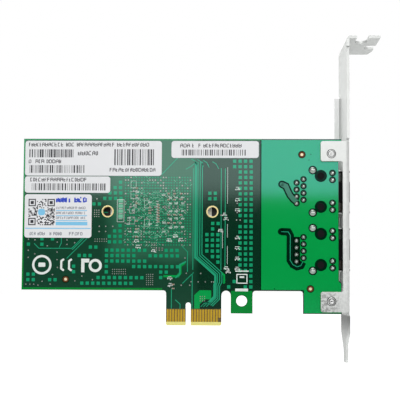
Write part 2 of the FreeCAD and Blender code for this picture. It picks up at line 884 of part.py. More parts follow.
def controller_substrate():
    """The controller's laminate carrier."""
    low = component_face + ball_height
    side_x = around(controller_x, substrate_size)
    side_z = around(controller_height, substrate_size)
    return slab_xz(clipped(side_x, side_z, substrate_corner_cut), (low, low + substrate_thickness))


def controller_die():
    """The bare silicon die on the carrier."""
    low = component_face + ball_height + substrate_thickness
    return block(
        around(controller_x, die_size), (low, low + die_thickness), around(controller_height, die_size)
    )


def controller_solder_balls():
    """The outer ring of the controller's solder balls, each as a four-sided post."""
    span = ball_pitch * (ball_count - 1)
    places = set()
    for i in range(ball_count):
        step = i * ball_pitch - span / 2
        places |= {(step, -span / 2), (step, span / 2), (-span / 2, step), (span / 2, step)}
    posts = []
    post_y = (component_face, component_face + ball_height)
    for dx, dz in sorted(places):
        across = around(controller_x + dx, ball_width)
        posts.append(block(across, post_y, around(controller_height + dz, ball_width)))
    return Part.makeCompound(posts)


def thermal_pad():
    """The adhesive thermal pad between the die and the heatsink."""
    high = component_face + heatsink_floor
    return block(
        around(controller_x, die_size), (high - pad_thickness, high), around(controller_height, die_size)
    )


def heatsink():
    """The black extruded heatsink with cross-cut fins and a machined land over the controller."""
    low = component_face + heatsink_floor
    high = low + heatsink_height
    plate = low + heatsink_land
    root = plate + heatsink_base
    length = heatsink_size + 2 * heatsink_overhang
    side_x = around(controller_x, length)
    side_z = around(controller_height, heatsink_size)
    land = block(around(controller_x, heatsink_size), (low, plate + 0.1), side_z)
    body = joined([block(side_x, (plate, high), side_z), land])
    pitch = (heatsink_size - fin_thickness) / (fin_count - 1)
    cuts = []
    for i in range(fin_count - 1):
        start = side_z[0] + i * pitch + fin_thickness
        gap = (start, start + pitch - fin_thickness)
        cuts.append(block((side_x[0] - 1, side_x[1] + 1), (root, high + 1), gap))
    cross_pitch = length / (cross_cut_count + 1)
    for i in range(cross_cut_count):
        middle = side_x[0] + (i + 1) * cross_pitch
        cuts.append(block(around(middle, cross_cut_width), (root, high + 1), (side_z[0] - 1, side_z[1] + 1)))
    return body.cut(cuts)


def moulded_body(place, size_x, size_z, height, chamfer=body_chamfer):
    """A moulded package on the component face, with its upper edges chamfered."""
    low = component_face + body_standoff
    high = component_face + height
    body = block(around(place[0], size_x), (low, high), around(place[1], size_z))
    rim = [e for e in body.Edges if e.BoundBox.YMin > high - 1e-3]
    return body.makeChamfer(chamfer, rim)


def gull_leads(place, size_x, pins, pitch, exit_height=lead_exit):
    """Gull-wing leads on both X sides of a moulded package, in rows along Z."""
    x, z = place
    thick = lead_thickness
    floor = component_face
    first = z - pitch * (pins - 1) / 2
    leads = []
    for side in (-1, 1):
        wall = x + side * size_x / 2
        knee = wall + side * (lead_reach - lead_foot)
        end = wall + side * lead_reach
        corners = [
            (wall, floor + exit_height, 0),
            (wall, floor + exit_height + thick, 0),
            (knee, floor + thick, 0),
            (end, floor + thick, 0),
            (end, floor, 0),
            (knee - side * thick, floor, 0),
        ]
        for i in range(pins):
            leads.append(slab_xy(corners, around(first + i * pitch, lead_width)))
    return Part.makeCompound(leads)


def transformer_place(port_height):
    """Where a port's line transformer stands, level with its jack."""
    return (transformer_x, port_height)


def transformer_body(port_height):
    """The moulded line transformer of one port."""
    return moulded_body(
        transformer_place(port_height), transformer_width, transformer_length, transformer_height, 0.4
    )


def transformer_leads(port_height):
    """The line transformer's two rows of leads."""
    return gull_leads(
        transformer_place(port_height), transformer_width, transformer_pins, transformer_pin_pitch
    )


def small_outline_body(place):
    """A small-outline chip's moulded body."""
    return moulded_body(place, chip_width, chip_length, chip_height)


def small_outline_leads(place):
    """A small-outline chip's leads."""
    return gull_leads(place, chip_width, chip_pins, chip_pin_pitch, lead_exit * 0.8)


def regulator_body(place):
    """A linear regulator's moulded body."""
    return moulded_body(place, regulator_length, regulator_width, regulator_height)


def regulator_leads(place):
    """A linear regulator's wide cooling tab above its body and three leads below it."""
    x, z = place
    thick = lead_thickness * 1.25
    floor = component_face
    exit_height = lead_exit
    leads = []
    spread = ((0, regulator_tab_width, 1), (-regulator_pitch, lead_width * 1.7, -1),
              (0, lead_width * 1.7, -1), (regulator_pitch, lead_width * 1.7, -1))
    for offset, width, side in spread:
        wall = z + side * regulator_width / 2
        knee = wall + side * (lead_reach - lead_foot)
        end = wall + side * (lead_reach + lead_foot)
        corners = [
            (floor + exit_height, wall, 0),
            (floor + exit_height + thick, wall, 0),
            (floor + exit_height + thick, knee, 0),
            (floor + thick, knee, 0),
            (floor + thick, end, 0),
            (floor, end, 0),
            (floor, knee - side * thick, 0),
            (floor + exit_height, knee - side * thick, 0),
        ]
        leads.append(slab_yz(corners, around(x + offset, width)))
    return Part.makeCompound(leads)


def inductor_core(place):
    """A shielded power inductor's pressed core with its corners cut."""
    x, z = place
    corners = clipped(around(x, inductor_size), around(z, inductor_size), inductor_corner)
    low = component_face + terminal_thickness
    high = component_face + inductor_height
    core = slab_xz(corners, (low, high))
    well = prism_y(x, z, inductor_well_radius, (high - inductor_well_depth, high + 1), ring_sides)
    return core.cut(well)


def inductor_terminals(place):
    """The two folded terminals under and beside an inductor's core."""
    x, z = place
    thick = terminal_thickness
    floor = component_face
    terminals = []
    for side in (-1, 1):
        wall = x + side * inductor_size / 2
        corners = [
            (wall - side * 1.6, floor, 0),
            (wall + side * thick, floor, 0),
            (wall + side * thick, floor + terminal_rise, 0),
            (wall, floor + terminal_rise, 0),
            (wall, floor + thick, 0),
            (wall - side * 1.6, floor + thick, 0),
        ]
        terminals.append(slab_xy(corners, around(z, terminal_width)))
    return Part.makeCompound(terminals)


def capacitor_base(place):
    """The plastic base of an aluminium capacitor, two corners cut to mark its polarity."""
    x, z = place
    half = can_base_size / 2
    cut = can_base_cut
    corners = [
        (x - half, z - half, 0), (x + half, z - half, 0), (x + half, z + half - cut, 0),
        (x + half - cut, z + half, 0), (x - half + cut, z + half, 0), (x - half, z + half - cut, 0),
    ]
    return slab_xz(corners, (component_face, component_face + can_base_height))


def capacitor_can(place):
    """The drawn aluminium can of a capacitor, turned with its groove and rounded rim."""
    x, z = place
    low = component_face + can_base_height
    high = low + can_height
    groove = low + can_groove_height
    profile = (
        (can_radius, low), (can_radius, groove - can_groove_width / 2),
        (can_radius - can_groove_depth, groove), (can_radius, groove + can_groove_width / 2),
        (can_radius, high - can_edge), (can_radius - can_edge, high),
    )
    return turned(x, z, profile, turned_sides)


def crystal_base():
    """The crystal's flat moulded base."""
    x, z = crystal_x, crystal_z
    corners = clipped(around(x, crystal_base_width), around(z, crystal_base_length), crystal_base_cut)
    return slab_xz(corners, (component_face, component_face + crystal_base_height))


def crystal_can():
    """The crystal's oval can with its rolled foot."""
    x, z = crystal_x, crystal_z
    low = component_face + crystal_base_height
    high = low + crystal_height
    radius = crystal_width / 2 * 0.98
    can = slab_xz(rectangle(around(x, crystal_width), around(z, crystal_length), radius), (low, high))
    rim = [e for e in can.Edges if e.BoundBox.YMin > high - 1e-3]
    can = can.makeChamfer(crystal_rim, rim)
    foot_x = around(x, crystal_width + 2 * crystal_flange * 0.9)
    foot_z = around(z, crystal_length + 2 * crystal_flange)
    corners = rectangle(foot_x, foot_z, radius + crystal_flange * 0.85)
    foot = slab_xz(corners, (low, low + crystal_flange_height))
    return joined([can, foot])


def chip_part(place, along, size, side):
    """A resistor or capacitor chip with raised end caps, on the solder (-1) or component (1) side."""
    x, z = place
    length, width, height = size
    cap = length * end_cap_share
    face = solder_face if side < 0 else component_face
    if length < large_length:
        y = (face, face + side * height) if side > 0 else (face + side * height, face)
        across = (length, width) if along == "x" else (width, length)
        return block(around(x, across[0]), y, around(z, across[1]))
    profile = [
        (-length / 2, 0, 0), (length / 2, 0, 0), (length / 2, height, 0), (length / 2 - cap, height, 0),
        (length / 2 - cap, height - end_cap_lift, 0), (-length / 2 + cap, height - end_cap_lift, 0),
        (-length / 2 + cap, height, 0), (-length / 2, height, 0),
    ]
    if along == "x":
        return slab_xy([(x + u, face + side * v, 0) for u, v, _ in profile], around(z, width))
    return slab_yz([(face + side * v, z + u, 0) for u, v, _ in profile], around(x, width))


def chip_parts(rows, size, side):
    """A group of equal chips: each row is (x, z, step in x, step in z, count, direction)."""
    parts = []
    for x, z, step_x, step_z, count, along in rows:
        for i in range(count):
            parts.append(chip_part((x + i * step_x, z + i * step_z), along, size, side))
    return Part.makeCompound(parts)


def solder_side_capacitors():
    """Decoupling capacitors behind the controller and at the slot."""
    x = controller_x
    z = controller_height
    rows = (
        (x - 0.6, z + 2.4, 0, -1.02, 7, "x"),
        (x - 3.7, z + 1.4, 0, -1.02, 3, "x"),
        (x + 3.2, z + 6.6, 2.2, 0, 2, "x"),
        (x + 7.9, z + 6.6, 0, -2.1, 2, "x"),
        (x + 3.2, z + 4.4, 2.2, 0, 2, "x"),
        (x + 3.2, z - 1.2, 2.2, 0, 3, "x"),
        (x + 3.2, z - 4.2, 2.2, 0, 3, "x"),
        (x - 8.6, z + 8.6, 0, -2.8, 3, "x"),
        (x - 8.6, z - 3.6, 0, -2.9, 3, "x"),
        (tongue_left + 2.6, shoulder_height + 2.2, 0, -1.5, 2, "x"),
    )
    return chip_parts(rows, (small_length, small_width, small_height), -1)


def solder_side_resistors():
    """Resistors behind the controller and beside the line transformers."""
    x = controller_x
    z = controller_height
    rows = (
        (x + 1.8, z + 1.6, 1.6, 0, 4, "z"),
        (x - 1.2, z - 13.9, 1.1, 0, 3, "z"),
        (x + 8.0, z - 10.4, 1.5, 0, 2, "z"),
        (transformer_x - 8.6, z + 3.4, 0, -3.4, 2, "z"),
    )
    return chip_parts(rows, (small_length, small_width, small_height * 0.8), -1)


def component_side_capacitors():
    """Ceramic capacitors round the controller, the supplies and the slot."""
    x = controller_x
    z = controller_height
    edge = heatsink_size / 2
    rows = (
        (x - edge + 2.5, z + edge + 2.6, 3.2, 0, 10, "z"),
        (x - edge + 2.5, z - edge - 2.6, 3.2, 0, 10, "z"),
        (-57.2, 52.0, 0, -3.4, 5, "x"),
        (-40.5, 54.2, 3.2, 0, 2, "z"),
        (transformer_x - 7.6, 39.9, 0, -2.1, 2, "x"),
        (transformer_x + 7.4, 39.9, 0, -2.1, 2, "x"),
    )
    return chip_parts(rows, (large_length, large_width, large_height), 1)


def component_side_resistors():
    """Resistors round the controller and under the ports' transformers."""
    rows = (
        (crystal_x, crystal_z + 10.4, 0, -1.7, 3, "x"),
        (crystal_x, crystal_z - 12.3, 0, -1.7, 3, "x"),
        (transformer_x - 4.2, max(port_heights) + 10.2, 1.7, 0, 6, "z"),
        (transformer_x - 4.2, min(port_heights) - 10.2, 1.7, 0, 6, "z"),
        (-36.6, 40.6, 0, -1.7, 3, "x"),
        (tongue_left + 2.0, shoulder_height + 1.6, 1.5, 0, 4, "z"),
    )
    return chip_parts(rows, (small_length, small_width, small_height * 0.8), 1)


def label(left, width, top, height):
    """A paper label stuck on the solder face, clear of the plated holes."""
    low = top - height
    corners = clipped((left, left + width), (low, top), label_corner_cut)
    paper = slab_xz(corners, (solder_face - label_thickness, solder_face))
    reach = plating_ring_radius + label_hole_gap
    for x, z in heatsink_hole_places:
        if left - reach < x < left + width + reach and low - reach < z < top + reach:
            paper = paper.cut(prism_y(x, z, reach, around(solder_face, 4 * label_thickness), ring_sides))
    return paper


def labels():
    """The four paper labels by name."""
    return {
        "label_product": label(label_left, label_product_width, label_top, label_top - label_product_low),
        "label_serial": label(label_left, label_serial_width, label_serial_top, label_serial_height),
        "label_warranty": label(
            label_warranty_left, label_warranty_width, label_warranty_top, label_warranty_height,
        ),
        "label_address": label(label_address_left, label_address_width, label_top, label_address_height),
    }


def all_parts():
    """Every node's name and shape."""
    parts = {
        "circuit_board": circuit_board(),
        "edge_contacts": edge_contacts(),
        "heatsink_hole_plating": heatsink_hole_plating(),
        "solder_joints": solder_joints(),
        "mounting_bracket": mounting_bracket(),
        "bracket_screws": bracket_screws(),
        "controller_substrate": controller_substrate(),
        "controller_die": controller_die(),
        "controller_solder_balls": controller_solder_balls(),
        "thermal_pad": thermal_pad(),
        "heatsink": heatsink(),
        "crystal_base": crystal_base(),
        "crystal_can": crystal_can(),
        "solder_side_capacitors": solder_side_capacitors(),
        "solder_side_resistors": solder_side_resistors(),
        "component_side_capacitors": component_side_capacitors(),
        "component_side_resistors": component_side_resistors(),
        **labels(),
    }
    for number, height in enumerate(port_heights, 1):
        parts[f"port_{number}_shield"] = jack_shield(height)
        parts[f"port_{number}_housing"] = jack_housing(height)
        parts[f"port_{number}_contacts"] = jack_contacts(height)
        parts[f"port_{number}_link_led"] = jack_led(height, 1)
        parts[f"port_{number}_activity_led"] = jack_led(height, -1)
        parts[f"port_{number}_led_leads"] = jack_led_leads(height)
        parts[f"line_transformer_{number}"] = transformer_body(height)
        parts[f"line_transformer_{number}_leads"] = transformer_leads(height)
    chips = {"eeprom": eeprom_place, "flash_memory": flash_place, "step_down_converter": converter_place}
    for name, place in chips.items():
        parts[f"{name}_body"] = small_outline_body(place)
        parts[f"{name}_leads"] = small_outline_leads(place)
    for number, place in enumerate(regulator_places, 1):
        parts[f"regulator_{number}_body"] = regulator_body(place)
        parts[f"regulator_{number}_leads"] = regulator_leads(place)
    for number, place in enumerate(inductor_places, 1):
        parts[f"inductor_{number}_core"] = inductor_core(place)
        parts[f"inductor_{number}_terminals"] = inductor_terminals(place)
    for number, place in enumerate(can_places, 1):
        parts[f"capacitor_{number}_base"] = capacitor_base(place)
        parts[f"capacitor_{number}_can"] = capacitor_can(place)
    return parts


def main():
    """Write one file for each node."""
    os.makedirs("parts", exist_ok=True)
    for name, shape in all_parts().items():
        shape.exportStep(os.path.join("parts", name + ".step"))


main()
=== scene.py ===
"""Dresses the frame of a two-port network interface card and sets up its studio, for Blender 4.5.

Pieces are modelled in millimetres in the card's own frame and scaled to metres when they are
finished. X runs along the card towards its bracket, Z up from the slot contacts, and Y out of
the component side, so the photograph looks along +Y at the solder side.
"""

import logging
import math
import random
from dataclasses import dataclass, field
from enum import Enum
from typing import Callable, Iterable, Sequence, Union

import bmesh
import bpy
from bmesh.types import BMEdge, BMesh, BMVert
from bpy.types import Material, Object
from mathutils import Matrix, Vector


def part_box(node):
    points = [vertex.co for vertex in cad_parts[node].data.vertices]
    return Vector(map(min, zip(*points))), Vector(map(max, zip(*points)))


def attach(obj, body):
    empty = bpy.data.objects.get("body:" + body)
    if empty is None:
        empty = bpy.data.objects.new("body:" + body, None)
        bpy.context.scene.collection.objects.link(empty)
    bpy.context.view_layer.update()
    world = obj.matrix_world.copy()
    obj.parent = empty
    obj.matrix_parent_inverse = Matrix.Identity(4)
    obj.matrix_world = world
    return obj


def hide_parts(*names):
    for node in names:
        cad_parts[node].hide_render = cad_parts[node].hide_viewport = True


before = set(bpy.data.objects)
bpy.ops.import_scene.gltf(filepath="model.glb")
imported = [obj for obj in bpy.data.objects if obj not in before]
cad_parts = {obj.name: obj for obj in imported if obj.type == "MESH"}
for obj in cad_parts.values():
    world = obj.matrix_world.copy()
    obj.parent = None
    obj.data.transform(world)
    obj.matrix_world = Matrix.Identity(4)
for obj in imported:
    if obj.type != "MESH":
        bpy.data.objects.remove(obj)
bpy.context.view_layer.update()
log = logging.getLogger("network_card")

Spot = tuple[float, float]
Triple = tuple[float, float, float]
Colour = tuple[float, float, float, float]

MM = 0.001
PER_METRE = 1.0 / MM
ROOT = "root"
WHITE: Colour = (1.0, 1.0, 1.0, 1.0)
EVEN: Triple = (1.0, 1.0, 1.0)

# a colour Mix node's sockets
MIX_SHARE, MIX_FIRST, MIX_SECOND, MIX_RESULT = 0, 6, 7, 2

# the broad mottling's grain as a share of the fine one's
BROAD_GRAIN = 0.12

# thickness of a layer on the board in mm, and of the large copper areas
FILM, POUR_FILM = 0.006, 0.012


class Side(Enum):
    """The two faces of the board, by the way that each looks along Y."""

    SOLDER = -1
    COMPONENT = 1


class Level(Enum):
    """How far the underside of a layer lies out from the solder face, in mm."""

    POUR = 0.0
    CLEARANCE = 0.012
    INNER = 0.018
    FILL = 0.02
    RUNS = 0.022
    TARGET = 0.024
    VIA = 0.026
    LINK = 0.028
    LEGEND = 0.03


class Print(Enum):
    """What a printed row of a label holds."""

    TYPE = "type"
    BARS = "bars"


@dataclass(frozen=True)
class Row:
    """A printed row: its ends and heights from the label's lower left corner, and its seed.

    The share is how much of a bar row is inked, or how thick type is for its height.
    """

    kind: Print
    x: Spot
    z: Spot
    seed: int
    share: float = 0.18


def srgb(red: float, green: float, blue: float) -> Colour:
    """A linear colour from screen values.

    Args:
        red, green, blue: screen values from 0 to 255.

    Returns:
        The colour as linear red, green, blue and an alpha of 1.
    """
    def linear(value: float) -> float:
        """One channel, from 0..255 to linear."""
        share = value / 255
        return share / 12.92 if share <= 0.04045 else ((share + 0.055) / 1.055) ** 2.4

    return (linear(red), linear(green), linear(blue), 1.0)


# Shader building


def operator(operation: str, reflected: bool = False) -> Callable[["Signal", "Feed"], "Signal"]:
    """A Python operator of signals that stands for a Math node.

    Args:
        operation: the node's operation.
        reflected: whether the signal is the second value.

    Returns:
        The operator's method.
    """
    def apply(signal: "Signal", other: "Feed") -> "Signal":
        """The Math node's result."""
        values = {0: other, 1: signal} if reflected else {0: signal, 1: other}
        return signal.graph.signal("ShaderNodeMath", {"operation": operation}, values)

    return apply


class Signal:
    """A node's output that takes part in Python arithmetic as Math nodes."""

    def __init__(self, graph: "Graph", socket: bpy.types.NodeSocket) -> None:
        """Keeps the graph and the socket that the signal comes from."""
        self.graph = graph
        self.socket = socket

    __add__ = operator("ADD")
    __radd__ = operator("ADD", reflected=True)
    __sub__ = operator("SUBTRACT")
    __rsub__ = operator("SUBTRACT", reflected=True)
    __mul__ = operator("MULTIPLY")
    __lt__ = operator("LESS_THAN")
    __gt__ = operator("GREATER_THAN")

    def ramp(self, low: float, high: float) -> "Signal":
        """A smooth step from 0 at low to 1 at high."""
        return self.graph.signal(
            "ShaderNodeMapRange", {"interpolation_type": "SMOOTHSTEP"},
            {"Value": self, "From Min": low, "From Max": high},
        )

    def mixed(self, other: "Signal", share: float) -> "Signal":
        """This signal with a share of another in it."""
        return self * (1.0 - share) + other * share

    def about(self, middle: float, swing: float) -> "Signal":
        """The spread from 0 to 1 laid about a middle value, as wide as the swing."""
        return (self - 0.5) * swing + middle


Feed = Union[Signal, bpy.types.NodeSocket, float, tuple]


class Graph:
    """A node tree under construction."""

    def __init__(self, tree: bpy.types.NodeTree) -> None:
        """Empties the tree."""
        self.tree = tree
        tree.nodes.clear()

    def node(self, kind: str, settings: dict | None = None, inputs: dict | None = None) -> bpy.types.Node:
        """Adds a node.

        Args:
            kind: the node's type.
            settings: properties, set before the inputs.
            inputs: values or signals by input name or number.

        Returns:
            The new node.
        """
        made = self.tree.nodes.new(kind)
        for key, value in (settings or {}).items():
            setattr(made, key, value)
        for key, value in (inputs or {}).items():
            self.feed(made.inputs[key], value)
        return made

    def feed(self, socket: bpy.types.NodeSocket, value: Feed) -> None:
        """Links a signal to a socket, or sets a plain value on it."""
        if isinstance(value, Signal):
            self.tree.links.new(value.socket, socket)
        elif isinstance(value, bpy.types.NodeSocket):
            self.tree.links.new(value, socket)
        else:
            socket.default_value = value

    def signal(
        self, kind: str, settings: dict | None = None, inputs: dict | None = None, output: str | int = 0,
    ) -> Signal:
        """Adds a node and returns one of its outputs as a signal."""
        return Signal(self, self.node(kind, settings, inputs).outputs[output])

    def place(self) -> tuple[Signal, Signal, Signal]:
        """The surface point's own X, Y and Z in metres."""
        where = self.signal("ShaderNodeTexCoord", output="Object")
        apart = self.node("ShaderNodeSeparateXYZ", inputs={0: where})
        return tuple(Signal(self, apart.outputs[i]) for i in range(3))

    def rays(self) -> list[Signal]:
        """1 for rays from the camera, for those off a glossy surface, and for those through glass."""
        path = self.node("ShaderNodeLightPath")
        return [Signal(self, path.outputs[f"Is {kind} Ray"]) for kind in ("Camera", "Glossy", "Transmission")]

    def noise(self, scale: float, detail: float = 3.0, stretch: Triple = EVEN) -> Signal:
        """Noise from 0 to 1 about a scale per metre, stretched along the axes.

        Args:
            scale: grains per metre.
            detail: octaves of finer grain.
            stretch: how many times closer the grain lies along each axis.

        Returns:
            The noise's factor.
        """
        where = self.signal("ShaderNodeTexCoord", output="Object")
        if stretch != EVEN:
            where = self.signal("ShaderNodeMapping", inputs={"Vector": where, "Scale": stretch})
        return self.signal(
            "ShaderNodeTexNoise", inputs={"Vector": where, "Scale": scale, "Detail": detail}, output="Fac",
        )

    def blend(self, share: Feed, first: Feed, second: Feed) -> Signal:
        """A colour between two, by share."""
        inputs = {MIX_SHARE: share, MIX_FIRST: first, MIX_SECOND: second}
        return self.signal("ShaderNodeMix", {"data_type": "RGBA"}, inputs, MIX_RESULT)

    def bump(self, height: Signal, depth: float) -> Signal:
        """A bumped normal from a height of 0 to 1 that stands for a depth in metres."""
        return self.signal("ShaderNodeBump", inputs={"Height": height, "Distance": depth})


class Paint(Graph):
    """One material with a single Principled shader."""

    def __init__(self, name: str) -> None:
        """Starts an empty material of that name."""
        self.material = bpy.data.materials.new(name)
        self.material.use_nodes = True
        super().__init__(self.material.node_tree)

    def surface(self, **inputs: Feed) -> Material:
        """Closes the material with a Principled shader.

        Args:
            inputs: values or signals by the socket's name, with underscores for spaces.

        Returns:
            The finished material.
        """
        named = {key.replace("_", " "): value for key, value in inputs.items()}
        shader = self.node("ShaderNodeBsdfPrincipled", inputs=named)
        self.node("ShaderNodeOutputMaterial", inputs={"Surface": shader.outputs[0]})
        return self.material


# Finishes


@dataclass(frozen=True)
class Finish:
    """A surface whose colour, gloss and grain vary a little, as a real one's do.

    Grain is in grains per metre, depth is the relief in mm, and mottle is the share of its light
    that the darkest spot loses.
    """

    name: str
    colour: Colour
    roughness: float = 0.5
    metallic: float = 0.0
    specular: float = 0.5
    tint: Colour = WHITE
    grain: float = 1200.0
    mottle: float = 0.12
    depth: float = 0.004
    stretch: Triple = EVEN

    def material(self) -> Material:
        """The finish as a node material, made once and then shared."""
        known = bpy.data.materials.get(self.name)
        return known or self.paint(Paint(self.name))

    def darker(self, share: float) -> Colour:
        """The finish's colour with its light cut to a share."""
        return tuple(channel * share for channel in self.colour[:3]) + (1.0,)

    def mottled(self, paint: Paint, share: Signal) -> Signal:
        """The colour, darker where the share is low."""
        return paint.blend(share, self.darker(1 - self.mottle), self.colour)

    def close(self, paint: Paint, colour: Signal, roughness: Feed, relief: Signal, **more: Feed) -> Material:
        """Ends the material with the finish's own metal, specular light and depth.

        Args:
            paint: the material.
            colour: its base colour.
            roughness: its roughness.
            relief: the height of its grain, from 0 to 1.
            more: other inputs of the shader, and those that go before the finish's own.

        Returns:
            The finished material.
        """
        own = {"Metallic": self.metallic, "Specular_IOR_Level": self.specular, "Specular_Tint": self.tint}
        normal = paint.bump(relief, self.depth * MM)
        return paint.surface(Base_Color=colour, Roughness=roughness, Normal=normal, **{**own, **more})

    def paint(self, paint: Paint) -> Material:
        """Broad mottling with a fine grain in its colour, gloss and relief."""
        broad = paint.noise(self.grain * BROAD_GRAIN, 2.0, self.stretch)
        fine = paint.noise(self.grain, 3.0, self.stretch)
        colour = self.mottled(paint, broad.mixed(fine, 0.4))
        return self.close(paint, colour, fine.about(self.roughness, 0.2 * self.roughness), fine)


@dataclass(frozen=True)
class BoardFinish(Finish):
    """Green lacquer over glass-fibre laminate, bare and bevelled where the contacts go in.

    Copper planes inside the board lighten the lacquer over them. Places are in mm, and a pair
    of them is where a soft edge starts and ends.
    """

    mottle: float = 0.25
    depth: float = 0.003
    laminate: Colour = srgb(74, 44, 4)
    bevel: Colour = srgb(226, 218, 128)
    over_plane: Colour = srgb(46, 104, 78)
    weave_pitch: float = 0.55
    lacquer_end: float = 6.1
    bevel_end: float = 1.35
    tongue_right: float = 13.4
    plane_left: Spot = (-31.0, -24.0)
    plane_low: Spot = (22.0, 30.0)
    plane_right: Spot = (1.0, 4.5)
    plane_blur: float = 4.0
    plane_floor: float = 0.25

    def paint(self, paint: Paint) -> Material:
        """Lacquer above, laminate between the contacts, and a pale chamfer at the bottom."""
        x, _, z = paint.place()
        cloudy = paint.noise(90.0, 4.0)
        weave = self._weave(paint, x) * self._weave(paint, z)
        across, height, blur = x * PER_METRE, z * PER_METRE, cloudy * self.plane_blur
        plane = (across + blur).ramp(*self.plane_left) * (height + blur).ramp(*self.plane_low)
        plane = (plane * (1 - self.plane_floor) + self.plane_floor) * (1.0 - across.ramp(*self.plane_right))
        lacquer = self.mottled(paint, cloudy.mixed(weave, 0.3))
        lacquer = paint.blend(plane * (0.8 + weave * 0.2), lacquer, self.over_plane)
        resin = paint.blend(weave * 0.12, self.laminate, self.bevel)
        resin = paint.blend(z < self.bevel_end * MM, resin, self.bevel)
        bare = (z < self.lacquer_end * MM) * (x < self.tongue_right * MM)
        return self.close(paint, paint.blend(bare, lacquer, resin), self.roughness + bare * 0.4, weave)

    def _weave(self, paint: Paint, along: Signal) -> Signal:
        """The swell of the glass threads along one axis."""
        turns = along * (math.tau / (self.weave_pitch * MM))
        return paint.signal("ShaderNodeMath", {"operation": "SINE"}, {0: turns}) * 0.5 + 0.5


@dataclass(frozen=True)
class LacqueredCopper(Finish):
    """Copper under green lacquer, lighter than the laminate."""

    depth: float = 0.0015

    def paint(self, paint: Paint) -> Material:
        """An even bright green with a cloudy light over it."""
        fine = paint.noise(2500.0, 2.0)
        colour = self.mottled(paint, paint.noise(60.0, 3.0).mixed(fine, 0.2))
        return self.close(paint, colour, fine.about(self.roughness, 0.03), fine)


@dataclass(frozen=True)
class WornGold(Finish):
    """Gold with fine scratches along the way that the card goes into its slot.

    A tinned share of it turns to tin below the board, where tail_start is in mm.
    """

    mottle: float = 0.4
    depth: float = 0.003
    tinned: float = 0.0
    tin: Colour = srgb(176, 180, 176)
    tail_start: float = -0.7

    def paint(self, paint: Paint) -> Material:
        """Stretched scratches and darker patches over gold."""
        scratches = paint.noise(9000.0, 4.0, (1.0, 1.0, 0.05))
        gold = self.mottled(paint, paint.noise(700.0, 3.0).mixed(scratches, 0.4))
        tail = (paint.place()[1] < self.tail_start * MM) * self.tinned
        colour = paint.blend(tail, gold, self.tin)
        return self.close(paint, colour, scratches.about(self.roughness, 0.3), scratches)


@dataclass(frozen=True)
class PlatedSheet(Finish):
    """Zinc-plated steel sheet with crystal spangle and fine rolling lines.

    With ear mottle and painted light, the sheet is mottled dark at its low ear, has painted shade
    on the lip under it and a painted highlight on its folded rim, and is darker towards the tab.
    Shaded sheet has painted shade behind the board's edge. Places are in mm, and a pair of them is
    where a zone or its soft edge starts and ends.
    """

    spangle: float = 700.0
    # share of the ear's mottle and of the painted light: painted shade on the lip, a painted highlight on the
    # rim, a darker tab
    ear_mottle_and_painted_light: float = 0.0
    shaded: float = 0.0
    # light share of the dark colour for the ear's blotches and for the painted shade
    dark_light: float = 0.14
    ear_foot: Spot = (-6.0, 3.0)
    # the lip under the ear, below this height, gets plain painted shade
    ear_top: Spot = (11.0, 13.5)
    shaded_lip_top: Spot = (3.6, 4.4)
    shaded_lip_right: float = 59.0
    wear: Spot = (51.0, 57.5)
    shade_across: Spot = (56.4, 58.6)
    shade_start: float = -0.75
    shade_reach: float = 2.5
    shade_foot: Spot = (11.5, 15.5)
    shade_top: Spot = (58.0, 63.0)
    # painted highlight: the folded rim is near white and loses its metal
    rim: Colour = srgb(252, 252, 252)
    highlight_rim_right: float = 57.95
    highlight_rim_start: float = 12.0
    # the sheet darkens towards the tab to this share of its light
    tab: Spot = (72.0, 104.0)
    tab_light: float = 0.78

    def paint(self, paint: Paint) -> Material:
        """Pale plating, mottled on the low ear and smooth elsewhere, with painted shade and a painted
        highlight.
        """
        where = paint.signal("ShaderNodeTexCoord", output="Object")
        cells = {"Vector": where, "Scale": self.spangle}
        crystals = paint.signal("ShaderNodeTexVoronoi", {"feature": "F1"}, cells, "Color")
        tone = paint.signal("ShaderNodeSeparateColor", inputs={0: crystals})
        rolled = paint.noise(4000.0, 3.0, (1.0, 1.0, 0.08))
        stained = paint.noise(260.0, 4.0)
        pressed = paint.noise(1300.0, 4.0).ramp(0.36, 0.6)
        x, y, z = paint.place()
        across, height = x * PER_METRE, z * PER_METRE
        ear = (1.0 - height.ramp(*self.ear_top)) * height.ramp(*self.ear_foot) * self.ear_mottle_and_painted_light
        # painted shade on the lip under the ear and behind the board's edge, with the ear's blotches
        dark = self._ear_mottle_and_painted_shade(ear, pressed, across, height) + self._shade(across, y, height)
        # painted highlight on the folded rim, which loses its metal below; the sheet is also darker towards
        # the tab
        rim = (across < self.highlight_rim_right) * (y > self.highlight_rim_start * MM) * self.ear_mottle_and_painted_light
        tab = height.ramp(*self.tab) * self.ear_mottle_and_painted_light
        plating = self.mottled(paint, stained.mixed(tone, 0.35))
        lit = paint.blend(rim, paint.blend(tab, plating, self.darker(self.tab_light)), self.rim)
        return self.close(
            paint, paint.blend(dark, lit, self.darker(self.dark_light)),
            rolled.about(self.roughness, 0.12) + tone * 0.1,
            rolled * 0.3 + stained * 0.3 + pressed * ear * 0.3, Metallic=(1.0 - rim) * self.metallic,
        )

    def _ear_mottle_and_painted_shade(self, ear: Signal, pressed: Signal, across: Signal, height: Signal) -> Signal:
        """How dark the low ear is: blotched and darker towards its left, and plain dark as painted shade on
        the lip under it.
        """
        lip = 1.0 - height.ramp(*self.shaded_lip_top)
        worn = (1.0 - pressed * 0.8) * (1.0 - across.ramp(*self.wear) * 0.85) * 0.8
        return ear * (lip * (across < self.shaded_lip_right) + (1.0 - lip) * worn)

    def _shade(self, across: Signal, y: Signal, height: Signal) -> Signal:
        """How dark the sheet is behind the board's edge."""
        low, high = self.shade_across
        behind = (across > low) * (across < high) * (y > self.shade_start * MM) * (y < self.shade_reach * MM)
        return behind * height.ramp(*self.shade_foot) * (1.0 - height.ramp(*self.shade_top)) * self.shaded


